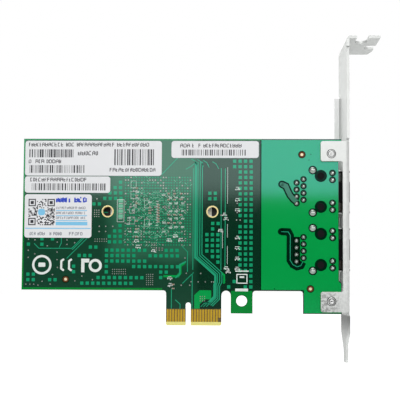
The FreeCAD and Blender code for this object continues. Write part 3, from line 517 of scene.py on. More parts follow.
@dataclass(frozen=True)
class PaintedShadeExtrusion(Finish):
    """Aluminium whose near-black colour is painted shade, bare and bright where its underside was machined
    flat.

    The machined land reaches a half width each way from its middle and up to its top, in mm.
    """

    mottle: float = 0.3
    bare: Colour = srgb(248, 248, 244)
    land_middle: float = -10.7
    land_half: float = 19.0
    land_top: float = 3.7

    def paint(self, paint: Paint) -> Material:
        """Drawn lines along the extrusion on near-black painted shade, and bare metal on the land."""
        x, y, _ = paint.place()
        low, high = (self.land_middle - self.land_half) * MM, (self.land_middle + self.land_half) * MM
        bare = (y < self.land_top * MM) * (x > low) * (x < high)
        drawn = paint.noise(5000.0, 3.0, (0.05, 1.0, 1.0))
        return self.close(
            paint, paint.blend(bare, self.mottled(paint, drawn), self.bare),
            drawn.about(self.roughness, 0.15) + bare * 0.15, drawn, Metallic=bare * 0.3 + self.metallic,
        )


@dataclass(frozen=True)
class TintedLens(Finish):
    """Clear tinted plastic over a small lamp, with painted shade that darkens it behind the bracket's front,
    in mm.
    """

    front: float = 58.6
    # light share of the painted shade behind the bracket's front
    recess_shade_light: float = 0.06

    def paint(self, paint: Paint) -> Material:
        """A clear body with a slightly frosted face, darkened by painted shade behind the bracket's front."""
        frost = paint.noise(3000.0, 2.0)
        # painted shade: only in front of the bracket's front does the lens keep its tint
        clear = (paint.place()[0] > self.front * MM) * (frost * 0.3 + 0.7)
        return self.close(
            paint, paint.blend(clear, self.darker(self.recess_shade_light), self.colour),
            self.roughness + frost * 0.1, frost, Transmission_Weight=0.45,
        )


@dataclass(frozen=True)
class CoatedPaper(Finish):
    """Label paper with a faint fibre and a thin gloss."""

    mottle: float = 0.05

    def paint(self, paint: Paint) -> Material:
        """Nearly white, with fibres that show in slanting light."""
        fibre = paint.noise(5000.0, 4.0, (1.0, 1.0, 0.4))
        colour = self.mottled(paint, paint.noise(120.0, 2.0).mixed(fibre, 0.3))
        return self.close(paint, colour, fibre.about(self.roughness, 0.1), fibre)


SHEEN = (0.5, 0.9, 1.0, 1.0)
LACQUER = BoardFinish("green lacquer", srgb(0, 47, 27), 0.09, tint=(0.75, 1.0, 0.95, 1.0))
POUR = LacqueredCopper("lacquered copper", srgb(0, 158, 68), 0.09, specular=0.95, tint=(0.3, 0.62, 1.0, 1.0))
FILL = LacqueredCopper("lacquered fill squares", srgb(22, 154, 106), 0.1, tint=SHEEN)
RUNS = LacqueredCopper("lacquered traces", srgb(34, 156, 114), 0.1, tint=SHEEN)
CLEARANCE = LacqueredCopper("lacquer over a clearance", srgb(0, 36, 19), 0.1, specular=0.08, tint=SHEEN)
CHANNEL = LacqueredCopper("lacquer over inner copper", srgb(58, 122, 96), 0.1, specular=0.3, tint=SHEEN)
MARGIN = LacqueredCopper("lacquer at the board's edge", srgb(0, 130, 44), 0.12, tint=SHEEN)
SILK = Finish("white legend ink", srgb(222, 228, 224), 0.6, specular=0.3, mottle=0.08, depth=0.003)
LINKS = LacqueredCopper("fan-out under lacquer", srgb(112, 186, 152), 0.2, specular=0.2)
GOLD = WornGold("contact gold", srgb(190, 154, 26), 0.42, 0.55)
WIRE = WornGold("contact wire", srgb(214, 178, 92), 0.34, 0.85, tinned=1.0)
RING = WornGold("plated ring", srgb(238, 220, 158), 0.4, 0.5)
TIN = Finish("solder tin", srgb(158, 162, 156), 0.3, 0.9, mottle=0.35, grain=2600.0, depth=0.01)
FILLET = Finish("solder fillet", srgb(138, 150, 142), 0.22, 0.9, mottle=0.45, grain=3200.0, depth=0.012)
PIN = Finish("clipped pin", srgb(168, 172, 168), 0.25, 0.9, mottle=0.4, grain=4000.0)
TARGET = Finish("tinned copper target", srgb(236, 214, 176), 0.4, 0.2, mottle=0.2)
WELL = Finish("bare laminate well", srgb(98, 58, 28), 0.5, specular=0.1, mottle=0.2)
# ear mottle and painted light on, and painted shade behind the board's edge reaching far into the sheet
STEEL = PlatedSheet(
    "zinc-plated steel", srgb(210, 212, 210), 0.42, 0.5, tint=(0.6, 0.61, 0.6, 1.0), mottle=0.2,
    depth=0.006, ear_mottle_and_painted_light=0.85, shaded=0.8, shade_reach=15.0,
)
# painted shade: a flat dark grey ring where the groove of the screw lies
GROOVE_SHADE = Finish("painted thread-groove shade", srgb(70, 70, 70), 0.5, 0.5)
SCREW = Finish("plated screw", srgb(196, 197, 196), 0.3, 0.9, mottle=0.25, stretch=(1.0, 6.0, 1.0))
SHIELD = PlatedSheet(
    "tin-plated shield", srgb(212, 214, 212), 0.36, 0.85, mottle=0.15, spangle=1500.0, shaded=0.9,
)
MOULDING = Finish(
    "matt black moulding", srgb(9, 9, 10), 0.6, specular=0.09, mottle=0.3, grain=6000.0, depth=0.006,
)
LENS_GREEN = TintedLens("green lens", srgb(112, 150, 108), 0.2)
LENS_AMBER = TintedLens("amber lens", srgb(158, 130, 78), 0.2)
SUBSTRATE = Finish("chip laminate", srgb(46, 128, 84), 0.4, mottle=0.2)
SILICON = Finish("polished silicon", srgb(92, 94, 104), 0.15, 0.4, mottle=0.1)
PAD = Finish("soft thermal pad", srgb(196, 200, 208), 0.8, mottle=0.15, grain=3000.0, depth=0.02)
# painted shade: the near-black colour stands for the dark seen past the land through the board's holes
EXTRUSION = PaintedShadeExtrusion("aluminium with painted shade", srgb(38, 38, 41), 0.4, 0.3)
FERRITE = Finish("pressed ferrite", srgb(72, 72, 74), 0.7, mottle=0.35, grain=5000.0, depth=0.01)
CAN = Finish("drawn aluminium", srgb(222, 223, 225), 0.26, 0.85, mottle=0.08, stretch=(1.0, 0.1, 1.0))
CRYSTAL = Finish("nickel-plated can", srgb(226, 224, 214), 0.3, 0.85, mottle=0.1)
CERAMIC = Finish("fired capacitor ceramic", srgb(160, 128, 98), 0.45, mottle=0.25, grain=6000.0)
RESISTOR = Finish("coated resistor", srgb(38, 38, 42), 0.3, mottle=0.2, grain=6000.0)
PAPER = CoatedPaper("label paper", srgb(225, 226, 228), 0.55, specular=0.3)
INK, INK_GREY, INK_BLUE, INK_SKY = (
    Finish(f"{name} ink", colour, 0.6, specular=0.3, mottle=mottle, grain=9000.0)
    for name, colour, mottle in (
        ("black", srgb(44, 44, 50), 0.3), ("grey", srgb(120, 124, 134), 0.3),
        ("blue", srgb(44, 72, 190), 0.2), ("sky blue", srgb(126, 196, 232), 0.15),
    )
)


# Mesh building


def block(mesh: BMesh, low: Sequence[float], high: Sequence[float], edge: float, steps: int = 2) -> None:
    """Adds a block with rounded edges.

    Args:
        mesh: the mesh that takes it.
        low, high: its corners in mm.
        edge: radius of its edges in mm.
        steps: segments of each rounded edge.
    """
    size = Vector(high) - Vector(low)
    put = Matrix.Translation((Vector(high) + Vector(low)) / 2) @ Matrix.Diagonal((*size, 1.0))
    made = bmesh.ops.create_cube(mesh, size=1.0, matrix=put)
    edges = list({line for vert in made["verts"] for line in vert.link_edges})
    bmesh.ops.bevel(
        mesh, geom=edges, offset=edge, offset_type="OFFSET", affect="EDGES", segments=steps, profile=0.5,
        material=-1,
    )


def turn(mesh: BMesh, centre: Sequence[float], profile: Sequence[Spot], steps: int = 24) -> None:
    """Turns an outline about a line along Y.

    Args:
        mesh: the mesh that takes it.
        centre: the point on the axis that the outline starts from, in mm.
        profile: (radius, distance along Y) of the outline's points.
        steps: flats round the axis.
    """
    middle = Vector(centre)
    verts = [mesh.verts.new(middle + Vector((radius, along, 0.0))) for radius, along in profile]
    edges = [mesh.edges.new(pair) for pair in zip(verts, verts[1:])]
    bmesh.ops.spin(
        mesh, geom=verts + edges, cent=middle, axis=(0.0, 1.0, 0.0), angle=math.tau, steps=steps,
        use_merge=True,
    )


def finish_piece(
    mesh: BMesh, name: str, finish: Finish, stands_for: Iterable[str] = (),
    soft: float = 40.0,
) -> Object:
    """Turns a mesh in millimetres into a finished piece of the card.

    Args:
        mesh: the mesh, which is freed.
        name: the piece's name.
        finish: its surface.
        stands_for: nodes of the frame that the piece takes the place of.
        soft: edges flatter than this many degrees are shaded smooth.

    Returns:
        The new object, riding on the card.
    """
    bmesh.ops.remove_doubles(mesh, verts=mesh.verts, dist=1e-5)
    bmesh.ops.recalc_face_normals(mesh, faces=mesh.faces)
    bmesh.ops.scale(mesh, vec=(MM, MM, MM), verts=mesh.verts)
    data = bpy.data.meshes.new(name)
    mesh.to_mesh(data)
    mesh.free()
    data.shade_smooth()
    data.set_sharp_from_angle(angle=math.radians(soft))
    data.materials.append(finish.material())
    piece = bpy.data.objects.new(name, data)
    bpy.context.scene.collection.objects.link(piece)
    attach(piece, ROOT)
    if stands_for:
        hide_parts(*stands_for)
    log.info("%s: %d faces", name, len(data.polygons))
    return piece


def corners_of(name: str) -> tuple[Vector, Vector]:
    """The low and high corner of a frame node, in mm."""
    low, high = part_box(name)
    return Vector(low) / MM, Vector(high) / MM


def middle_of(low: Vector, high: Vector) -> Spot:
    """The middle between two corners, as (x, z)."""
    return (low.x + high.x) / 2, (low.z + high.z) / 2


def grid(corner: Spot, count: tuple[int, int], pitch: float, rise: int = -1) -> list[Spot]:
    """The places of a regular grid, row by row.

    Args:
        corner: the first place, as (x, z) in mm.
        count: columns and rows.
        pitch: the spacing in mm.
        rise: 1 where the rows go up and -1 where they go down.

    Returns:
        The (x, z) places.
    """
    columns, rows = count
    return [
        (corner[0] + pitch * i, corner[1] + rise * pitch * j) for j in range(rows) for i in range(columns)
    ]


def solids_of(name: str) -> list[tuple[Vector, Vector]]:
    """The low and high corners of each separate solid in a frame node.

    Args:
        name: the node's name.

    Returns:
        One (low, high) pair in mm for each solid.
    """
    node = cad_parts[name]
    copy = bmesh.new()
    copy.from_mesh(node.data)
    copy.transform(node.matrix_world)
    bmesh.ops.remove_doubles(copy, verts=copy.verts, dist=1e-7)
    waiting = set(copy.verts)
    found = []
    while waiting:
        reached = [waiting.pop()]
        for vert in reached:
            linked = {line.other_vert(vert) for line in vert.link_edges} & waiting
            waiting -= linked
            reached.extend(linked)
        spans = [[vert.co[axis] / MM for vert in reached] for axis in range(3)]
        found.append((Vector([min(span) for span in spans]), Vector([max(span) for span in spans])))
    copy.free()
    return sorted(found, key=lambda pair: (round(pair[0].x, 2), round(pair[0].z, 2)))


@dataclass
class FlatLayer:
    """A thin etched or printed layer on a face of the board, gathered shape by shape."""

    name: str
    finish: Finish
    slot: str
    level: float
    thickness: float
    side: Side = Side.SOLDER
    mesh: BMesh = field(default_factory=bmesh.new)

    def put(self, centre: Spot, size: Spot = (1.0, 1.0), slant: float = 0.0) -> Matrix:
        """The matrix that lays a unit shape of X and Y on the layer.

        Args:
            centre: where its middle goes, as (x, z) in mm.
            size: its width and height in mm.
            slant: its turn in degrees.

        Returns:
            The matrix.
        """
        return (
            Matrix.Translation((centre[0], self.level, centre[1]))
            @ Matrix.Rotation(-math.radians(slant), 4, "Y")
            @ Matrix.Rotation(math.pi / 2, 4, "X") @ Matrix.Diagonal((size[0], size[1], 1.0, 1.0))
        )

    def disc(self, centre: Spot, radius: float, sides: int = 8) -> None:
        """Adds a round dot."""
        put = self.put(centre)
        bmesh.ops.create_circle(self.mesh, cap_ends=True, segments=sides, radius=radius, matrix=put)

    def ring(self, centre: Spot, outer: float, inner: float, sides: int = 28) -> None:
        """Adds a flat ring between two radii."""
        lines = []
        for radius in (inner, outer):
            made = bmesh.ops.create_circle(self.mesh, segments=sides, radius=radius, matrix=self.put(centre))
            lines += list({line for vert in made["verts"] for line in vert.link_edges})
        bmesh.ops.bridge_loops(self.mesh, edges=lines)

    def plate(self, centre: Spot, size: Spot, corner: float = 0.0, slant: float = 0.0) -> None:
        """Adds a rectangle.

        Args:
            centre: its middle, as (x, z) in mm.
            size: its width and height in mm.
            corner: radius of its corners.
            slant: its turn in degrees.
        """
        made = bmesh.ops.create_grid(
            self.mesh, x_segments=1, y_segments=1, size=0.5, matrix=self.put(centre, size, slant),
        )
        if corner:
            bmesh.ops.bevel(
                self.mesh, geom=made["verts"], offset=corner, offset_type="OFFSET", affect="VERTICES",
                segments=5, profile=0.5, material=-1,
            )

    def between(self, x: Spot, z: Spot, corner: float = 0.0) -> None:
        """Adds a rectangle between two (low, high) pairs."""
        self.plate(((x[0] + x[1]) / 2, (z[0] + z[1]) / 2), (x[1] - x[0], z[1] - z[0]), corner)

    def frame_line(self, x: Spot, z: Spot, width: float) -> None:
        """Adds the outline of a rectangle."""
        self.run([(x[0], z[0]), (x[1], z[0]), (x[1], z[1]), (x[0], z[1]), (x[0], z[0] - width / 2)], width)

    def pierced(self, centre: Spot, size: Spot, hole: Spot, radius: float) -> None:
        """Adds a rectangle with a round hole.

        Args:
            centre: the rectangle's middle, as (x, z) in mm.
            size: its width and height in mm.
            hole: the hole's middle.
            radius: the hole's radius.
        """
        put = self.put(centre, size)
        made = bmesh.ops.create_grid(self.mesh, x_segments=1, y_segments=1, size=0.5, matrix=put)
        sheet = made["verts"][0].link_faces[0]
        rim = bmesh.ops.subdivide_edges(self.mesh, edges=list(sheet.edges), cuts=6)["geom_split"]
        rim = list({part for part in rim if isinstance(part, BMEdge) and part.is_boundary})
        faces = list({face for line in rim for face in line.link_faces})
        bmesh.ops.delete(self.mesh, geom=faces, context="FACES_ONLY")
        made = bmesh.ops.create_circle(self.mesh, segments=28, radius=radius, matrix=self.put(hole))
        rim += list({line for vert in made["verts"] for line in vert.link_edges})
        bmesh.ops.bridge_loops(self.mesh, edges=rim)

    def patch(self, points: Sequence[Spot]) -> None:
        """Adds a flat area with straight sides through the points."""
        self.mesh.faces.new([self.mesh.verts.new((x, self.level, z)) for x, z in points])

    def run(self, points: Sequence[Spot], width: float) -> None:
        """Adds a line of even width, mitred where it bends.

        Args:
            points: the (x, z) points on its centre line.
            width: its width in mm.
        """
        path = [Vector((x, self.level, z)) for x, z in points]
        ways = [(after - before).normalized() for before, after in zip(path, path[1:])]
        edge = None
        for i, here in enumerate(path):
            back, ahead = ways[max(i - 1, 0)], ways[min(i, len(ways) - 1)]
            middle = (back + ahead).normalized()
            across = Vector((-middle.z, 0.0, middle.x)) * (width / 2 / max(middle.dot(ahead), 0.3))
            if edge is None:
                ends = [self.mesh.verts.new(here - across), self.mesh.verts.new(here + across)]
                edge = self.mesh.edges.new(ends)
                left = edge.verts[1]
                continue
            made = bmesh.ops.extrude_edge_only(self.mesh, edges=[edge])["geom"]
            edge = next(part for part in made if isinstance(part, BMEdge) and not (
                set(part.verts) & set(edge.verts)))
            first = next(vert for vert in edge.verts if (vert.co - left.co).length < 1e-4)
            second = edge.other_vert(first)
            first.co, second.co, left = here + across, here - across, first

    def comb(self, points: Sequence[tuple], numbers: Iterable[int], width: float) -> None:
        """Adds lines side by side.

        Args:
            points: (x, z, step in x, step in z) of line 0's points, where the steps lead to line 1.
            numbers: the lines to add.
            width: their width in mm.
        """
        for i in numbers:
            self.run([(x + step_x * i, z + step_z * i) for x, z, step_x, step_z in points], width)

    def finished(self, stands_for: Iterable[str] = ()) -> Object:
        """Gives the layer its thickness and makes it a piece of the card."""
        made = bmesh.ops.extrude_face_region(self.mesh, geom=list(self.mesh.faces))
        raised = [part for part in made["geom"] if isinstance(part, BMVert)]
        bmesh.ops.translate(self.mesh, vec=(0.0, self.side.value * self.thickness, 0.0), verts=raised)
        return finish_piece(self.mesh, self.name, self.finish, stands_for, soft=30.0)


# The card


@dataclass
class SolderSideCopper:
    """Copper under the lacquer of the solder side: pours, clearances, runs, fill squares and vias.

    Places are (x, z) in mm in the card's frame. A block of squares or vias is its upper left one,
    its columns and its rows. A trace is its width and its points. A bundle is the points of its
    first run with their steps in x and z from run to run.
    """

    face: float
    left: float
    right: float
    top: float
    rim: float = 0.35
    inset: float = 0.2
    recess: float = 1.15
    recess_low: Spot = (15.5, 16.5)
    recess_high: Spot = (61.1, 62.1)
    corner: Spot = (42.35, 4.75)
    pour: Spot = (26.7, 13.2)
    edge_width: float = 0.6
    edge_gap: Spot = (0.02, 0.1)
    low_edge: float = 12.85
    low_margin: Spot = (-9.6, 0.8)
    top_margin: float = 0.5
    tab: tuple[Spot, Spot, Spot, float] = ((19.57, 8.7), (7.8, 8.2), (19.57, 9.1), 2.15)
    tongue_areas: tuple = (
        ((2.2, 6.2), (2.2, 11.1), (4.1, 12.9), (8.4, 12.9), (8.4, 9.6), (6.2, 9.6), (4.2, 7.9), (4.2, 6.2)),
        ((12.1, 19.9), (13.5, 18.6), (13.5, 15.6), (12.8, 15.2), (12.8, 18.3), (12.1, 18.8)),
        ((-9.2, 17.6), (-3.6, 17.6), (-2.6, 19.0), (-2.6, 21.6), (-1.2, 22.6), (-1.2, 23.6), (-3.4, 22.4),
         (-3.4, 19.4), (-4.4, 18.4), (-9.2, 18.4)),
    )
    joint_gap: float = 0.42
    peg_x: float = 48.55
    peg_spacing: float = 11.43
    peg_gap: float = 2.27
    lower_channel: tuple[Spot, ...] = (
        (34.0, 34.6), (36.6, 34.5), (37.35, 33.2), (37.3, 24.1), (38.3, 22.5), (39.8, 21.7), (41.2, 22.1),
        (41.9, 23.5),
    )
    upper_channel: tuple[Spot, ...] = (
        (34.2, 52.1), (35.7, 51.4), (36.5, 49.6), (37.3, 48.0), (38.5, 46.5), (39.8, 45.5),
    )
    gap_runs: tuple = (
        (2.4, ((39.75, 32.7), (39.75, 22.9))), (2.7, lower_channel), (2.8, upper_channel),
        (0.35, ((26.5, 68.5), (26.5, 12.9))),
    )
    gap_discs: tuple = (
        (lower_channel[0], 1.25, 20), (upper_channel[0], 1.35, 20),
        ((44.2, 61.1), 0.2, 8), ((44.9, 63.2), 0.2, 8), ((31.6, 13.6), 0.2, 8),
    )
    channel_width: float = 1.7
    channel_end: float = 0.75
    thin: float = 0.28
    bundle: tuple = (
        (2.5, 60.4, 0.8, 0.0), (2.5, 25.0, 0.8, 0.34), (9.9, 18.4, 0.8, 0.34), (9.9, 16.4, 0.8, -0.2),
        (9.6, 14.9, 0.62, -0.2), (9.6, 10.6, 0.62, -0.3), (7.0, 8.0, 0.62, -0.3),
    )
    contact_runs: tuple = ((4.6, 6.9, 1.0, 0.0), (5.8, 8.1, 1.0, 0.0), (7.4, 8.5, 0.4, 0.0))
    long_runs: Triple = (1.6, 11.9, 13.4)
    stubs: tuple[Spot, ...] = ((2.2, 61.4), (4.4, 61.2), (6.5, 60.9), (10.0, 60.4))
    traces: tuple = (
        (thin, ((-57.2, 29.9), (-55.4, 28.1), (-43.2, 28.1), (-39.3, 32.0))),
        (thin, ((-47.1, 32.2), (-47.1, 29.9), (-47.9, 28.4))),
        (thin, ((-37.2, 32.2), (-45.0, 24.4))),
        (thin, ((-38.4, 32.2), (-43.0, 27.6))),
        (0.3, ((-4.3, 61.8), (-10.2, 55.5))),
        (thin, ((-2.5, 29.1), (-0.4, 27.0), (-0.4, 19.7))),
        (0.5, ((-0.9, 23.4), (-3.2, 22.3), (-3.2, 18.7), (-4.8, 17.4))),
        (thin, ((-6.2, 13.4), (-6.2, 6.1))),
        (thin, ((-4.8, 9.4), (-3.0, 7.8), (-3.0, 6.1))),
        (thin, ((2.3, 60.0), (0.6, 58.6), (-1.2, 57.6))),
        (thin, ((1.4, 19.0), (1.4, 6.1))),
        (thin, ((1.9, 19.4), (-2.2, 15.4))),
        (thin, lower_channel),
    )
    row_count: int = 12
    row_start: Spot = (-23.5, 30.5)
    row_end: float = -9.0
    fill_size: float = 1.2
    fill_corner: float = 0.12
    fill_pitch: float = 2.02
    fills: tuple = (
        (-25.4, 52.7, 1, 1), (-27.4, 50.7, 2, 1), (-29.3, 48.7, 3, 1), (-31.2, 46.7, 4, 1),
        (-35.2, 44.6, 2, 1), (-25.4, 36.6, 1, 1), (-27.4, 34.6, 2, 1), (-29.3, 32.6, 3, 2),
        (-54.3, 31.6, 1, 2), (-50.4, 31.6, 1, 1), (-59.3, 29.6, 1, 1), (-36.3, 28.6, 2, 1),
        (-30.3, 27.5, 8, 1), (-30.3, 25.5, 6, 1), (-30.3, 23.5, 8, 1), (-8.3, 27.5, 3, 1),
        (-14.2, 25.5, 6, 1), (-40.4, 25.5, 3, 1), (-20.2, 21.5, 9, 1), (-42.4, 21.5, 1, 2),
        (-30.3, 21.5, 1, 2), (-10.2, 19.5, 2, 1), (-10.2, 17.5, 1, 1), (-59.3, 18.5, 2, 2),
        (-51.2, 16.5, 2, 1), (-33.3, 17.4, 9, 1), (-39.3, 15.3, 10, 1), (-33.3, 64.0, 1, 1),
        (16.8, 60.6, 4, 2), (18.9, 56.6, 3, 4), (7.7, 48.7, 2, 2), (18.9, 48.5, 3, 2), (18.9, 44.5, 3, 3),
        (20.9, 38.4, 2, 1), (8.8, 37.5, 2, 1), (8.8, 35.5, 1, 1), (18.9, 36.4, 3, 9), (6.7, 33.4, 3, 4),
        (8.8, 25.3, 2, 1), (10.8, 23.3, 1, 1), (22.9, 18.2, 1, 2), (16.8, 16.2, 1, 1), (14.8, 14.2, 1, 1),
        (20.9, 14.2, 2, 1),
    )
    via_radius: float = 0.26
    open_share: float = 0.2
    field_corner: Spot = (-23.5, 29.5)
    field_count: tuple[int, int] = (25, 26)
    single_vias: tuple[Spot, ...] = (
        (-59.3, 31.4), (-59.3, 27.3), (-59.3, 24.7), (-56.9, 31.2), (-56.9, 26.0), (-52.3, 29.0),
        (-48.6, 30.4), (-48.6, 26.7), (-48.6, 23.9), (-45.0, 31.2), (-45.0, 29.6), (-42.1, 30.2),
        (-39.3, 17.9), (-35.4, 16.6), (-41.9, 16.1), (-48.4, 21.0), (-60.0, 14.8), (-58.5, 14.8),
        (-57.1, 14.8), (-55.5, 14.5), (-54.0, 15.9), (-51.0, 14.9), (-50.2, 18.4), (-33.1, 36.3),
        (-30.7, 36.3), (-28.1, 36.3), (-33.1, 34.4), (-30.7, 34.4), (-34.1, 46.5), (1.0, 16.0), (3.6, 16.0),
        (6.2, 16.0), (8.5, 16.0), (9.3, 16.0), (4.5, 19.1), (-1.3, 24.7), (-0.8, 19.1), (10.6, 41.7),
        (11.9, 40.6), (17.6, 38.8), (18.9, 38.8), (-2.6, 14.7), (0.5, 14.7),
    )
    via_blocks: tuple = (
        (-34.9, 42.3, 3, 4, 0.8), (-34.6, 31.6, 6, 2, 0.85), (-28.0, 20.4, 7, 3, 0.8),
        (-15.4, 18.6, 4, 6, 0.75), (-13.6, 30.2, 3, 3, 0.85), (4.4, 10.6, 3, 3, 0.8),
    )
    block_via_radius: float = 0.2
    link_width: float = 0.2
    dense_part: tuple[Spot, Spot] = ((-20.5, -2.5), (32.0, 50.5))
    land: Spot = (0.62, 0.34)
    array_pad: Spot = (-25.25, 40.05)
    array_pitch: float = 1.9
    targets: tuple[Spot, ...] = ((-45.3, 16.7), (41.6, 63.1), (44.7, 13.6))

    def build(self) -> None:
        """Builds every copper layer, from the lowest up."""
        self._pour()
        self._margin()
        self._tongue()
        self._clearances()
        self._channels()
        self._runs()
        self._fills()
        self._vias()
        self._fan_out()
        self._fiducials()

    def _layer(
        self, name: str, finish: Finish, level: Level, thickness: float = FILM, slot: str = "solder_mask",
    ) -> FlatLayer:
        """A layer whose underside lies that far out from the face."""
        return FlatLayer(name, finish, slot, self.face - level.value, thickness)

    def _pour(self) -> None:
        """The ports' ground, drawn in beside the bracket."""
        pour = self._layer("copper_pour", POUR, Level.POUR, POUR_FILM)
        top, outer, inner = self.top - self.rim, self.right - self.inset, self.right - self.recess
        pour.patch([
            (self.pour[0], top), self.pour, (self.corner[0], self.pour[1]), self.corner,
            (outer, self.corner[1]), (outer, self.recess_low[0]), (inner, self.recess_low[1]),
            (inner, self.recess_high[0]), (outer, self.recess_high[1]), (outer, top),
        ])
        pour.finished()

    def _margin(self) -> None:
        """The brighter strip along the board's edges, and the retention tab."""
        margin = self._layer("copper_margin", MARGIN, Level.POUR, POUR_FILM)
        inner, top = self.left + self.edge_width, self.top - self.edge_gap[1]
        end, high = self.low_margin
        margin.between((self.left + self.edge_gap[0], inner), (self.low_edge, top))
        margin.between((inner, end), (self.low_edge, self.low_edge + high))
        margin.between((inner, self.pour[0]), (self.top - self.top_margin, top))
        margin.pierced(*self.tab)
        margin.finished()

    def _tongue(self) -> None:
        """The copper areas above the slot contacts."""
        plane = self._layer("copper_tongue", POUR, Level.POUR, POUR_FILM)
        for area in self.tongue_areas:
            plane.patch(area)
        plane.finished()

    def _clearances(self) -> None:
        """Gaps in the ports' ground round pins, pegs and the two signal channels."""
        gaps = self._layer("copper_clearances", CLEARANCE, Level.CLEARANCE)
        for low, high in solids_of("solder_joints"):
            gaps.disc(middle_of(low, high), (high.x - low.x) / 2 + self.joint_gap, 20)
        for number in (1, 2):
            middle = middle_of(*corners_of(f"port_{number}_housing"))[1]
            for way in (-1, 1):
                gaps.disc((self.peg_x, middle + way * self.peg_spacing / 2), self.peg_gap, 32)
        for width, points in self.gap_runs:
            gaps.run(points, width)
        for spot, radius, sides in self.gap_discs:
            gaps.disc(spot, radius, sides)
        gaps.finished()

    def _channels(self) -> None:
        """Inner copper that shows through the lacquer inside the upper port's clearance."""
        inner = self._layer("copper_channel", CHANNEL, Level.INNER)
        inner.run(self.upper_channel, self.channel_width)
        inner.disc(self.upper_channel[0], self.channel_end, 16)
        inner.finished()

    def _runs(self) -> None:
        """Traces between the controller, the supplies, the slot contacts and the ports."""
        runs = self._layer("copper_runs", RUNS, Level.RUNS)
        runs.comb(self.bundle, range(1), 0.85)
        runs.comb(self.bundle, range(1, 4), 0.34)
        runs.comb(self.contact_runs, range(3), 0.24)
        for x in self.long_runs:
            runs.run([(x, 58.0), (x, 27.0), (x, 20.4)], self.thin)
        for x, z in self.stubs:
            runs.run([(x - 1.4, z), (x, z - 0.8), (x + 0.9, z - 2.6)], self.thin)
        for width, points in self.traces:
            runs.run(points, width)
        for i in range(self.row_count):
            level = self.row_start[1] + 2.0 * i
            ends = (self.row_start[0] + 1.3 * (i % 3), self.row_end + 0.8 * (i % 4))
            runs.run([(ends[0], level), (ends[1], level)], 0.16)
        runs.finished()

    def _fills(self) -> None:
        """Squares of copper that even out the plating."""
        squares = self._layer("copper_fill", FILL, Level.FILL)
        for x, z, columns, rows in self.fills:
            for spot in grid((x, z), (columns, rows), self.fill_pitch):
                squares.plate(spot, (self.fill_size, self.fill_size), self.fill_corner)
        squares.finished()

    def _vias(self) -> None:
        """Plated through-holes under the lacquer: the controller's field and the scattered ones."""
        vias = self._layer("copper_vias", TIN, Level.VIA, slot="solder")
        tented = self._layer("copper_tented_vias", FILL, Level.VIA)
        chance = random.Random(7)
        for spot in grid(self.field_corner, self.field_count, 1.0, 1):
            (vias if chance.random() < self.open_share else tented).disc(spot, self.via_radius)
        for spot in self.single_vias:
            vias.disc(spot, self.via_radius)
        for x, z, columns, rows, pitch in self.via_blocks:
            for spot in grid((x, z), (columns, rows), pitch):
                vias.disc(spot, self.block_via_radius)
        vias.finished()
        tented.finished()

    def _fan_out(self) -> None:
        """Short traces from the controller's vias, and the lands of the parts between them."""
        links = self._layer("copper_fan_out", LINKS, Level.LINK)
        chance = random.Random(23)
        (left, right), (low, high) = self.dense_part
        for x, z in grid(self.field_corner, self.field_count, 1.0, 1):
            dense = left < x < right and low < z < high
            if chance.random() > (0.5 if dense else 0.14):
                continue
            way = chance.choice(((1, 1), (1, -1), (-1, 1), (-1, -1)))
            reach = chance.choice((0.0, 0.0, 0.9, 1.6)) * dense
            bend = (x + 0.5 * way[0], z + 0.5 * way[1])
            links.run([(x, z), bend, (bend[0] + 0.05 + reach * way[0], bend[1])], self.link_width)
            if dense and chance.random() < 0.5:
                links.plate((x + 0.5, z + 0.5), self.land if chance.random() < 0.5 else self.land[::-1])
        for i in range(4):
            links.plate((self.array_pad[0], self.array_pad[1] + self.array_pitch * i), (1.7, 1.3), 0.1)
        links.finished()

    def _fiducials(self) -> None:
        """Bare copper targets that a placing machine aims at, each in a bare ring of laminate."""
        for layer, radius, sides in (
            (self._layer("fiducial_rims", CLEARANCE, Level.CLEARANCE), 1.4, 28),
            (self._layer("fiducial_wells", WELL, Level.INNER), 1.1, 24),
            (self._layer("fiducial_targets", TARGET, Level.TARGET, 0.01, "gold"), 0.55, 20),
        ):
            for spot in self.targets:
                layer.disc(spot, radius, sides)
            layer.finished()


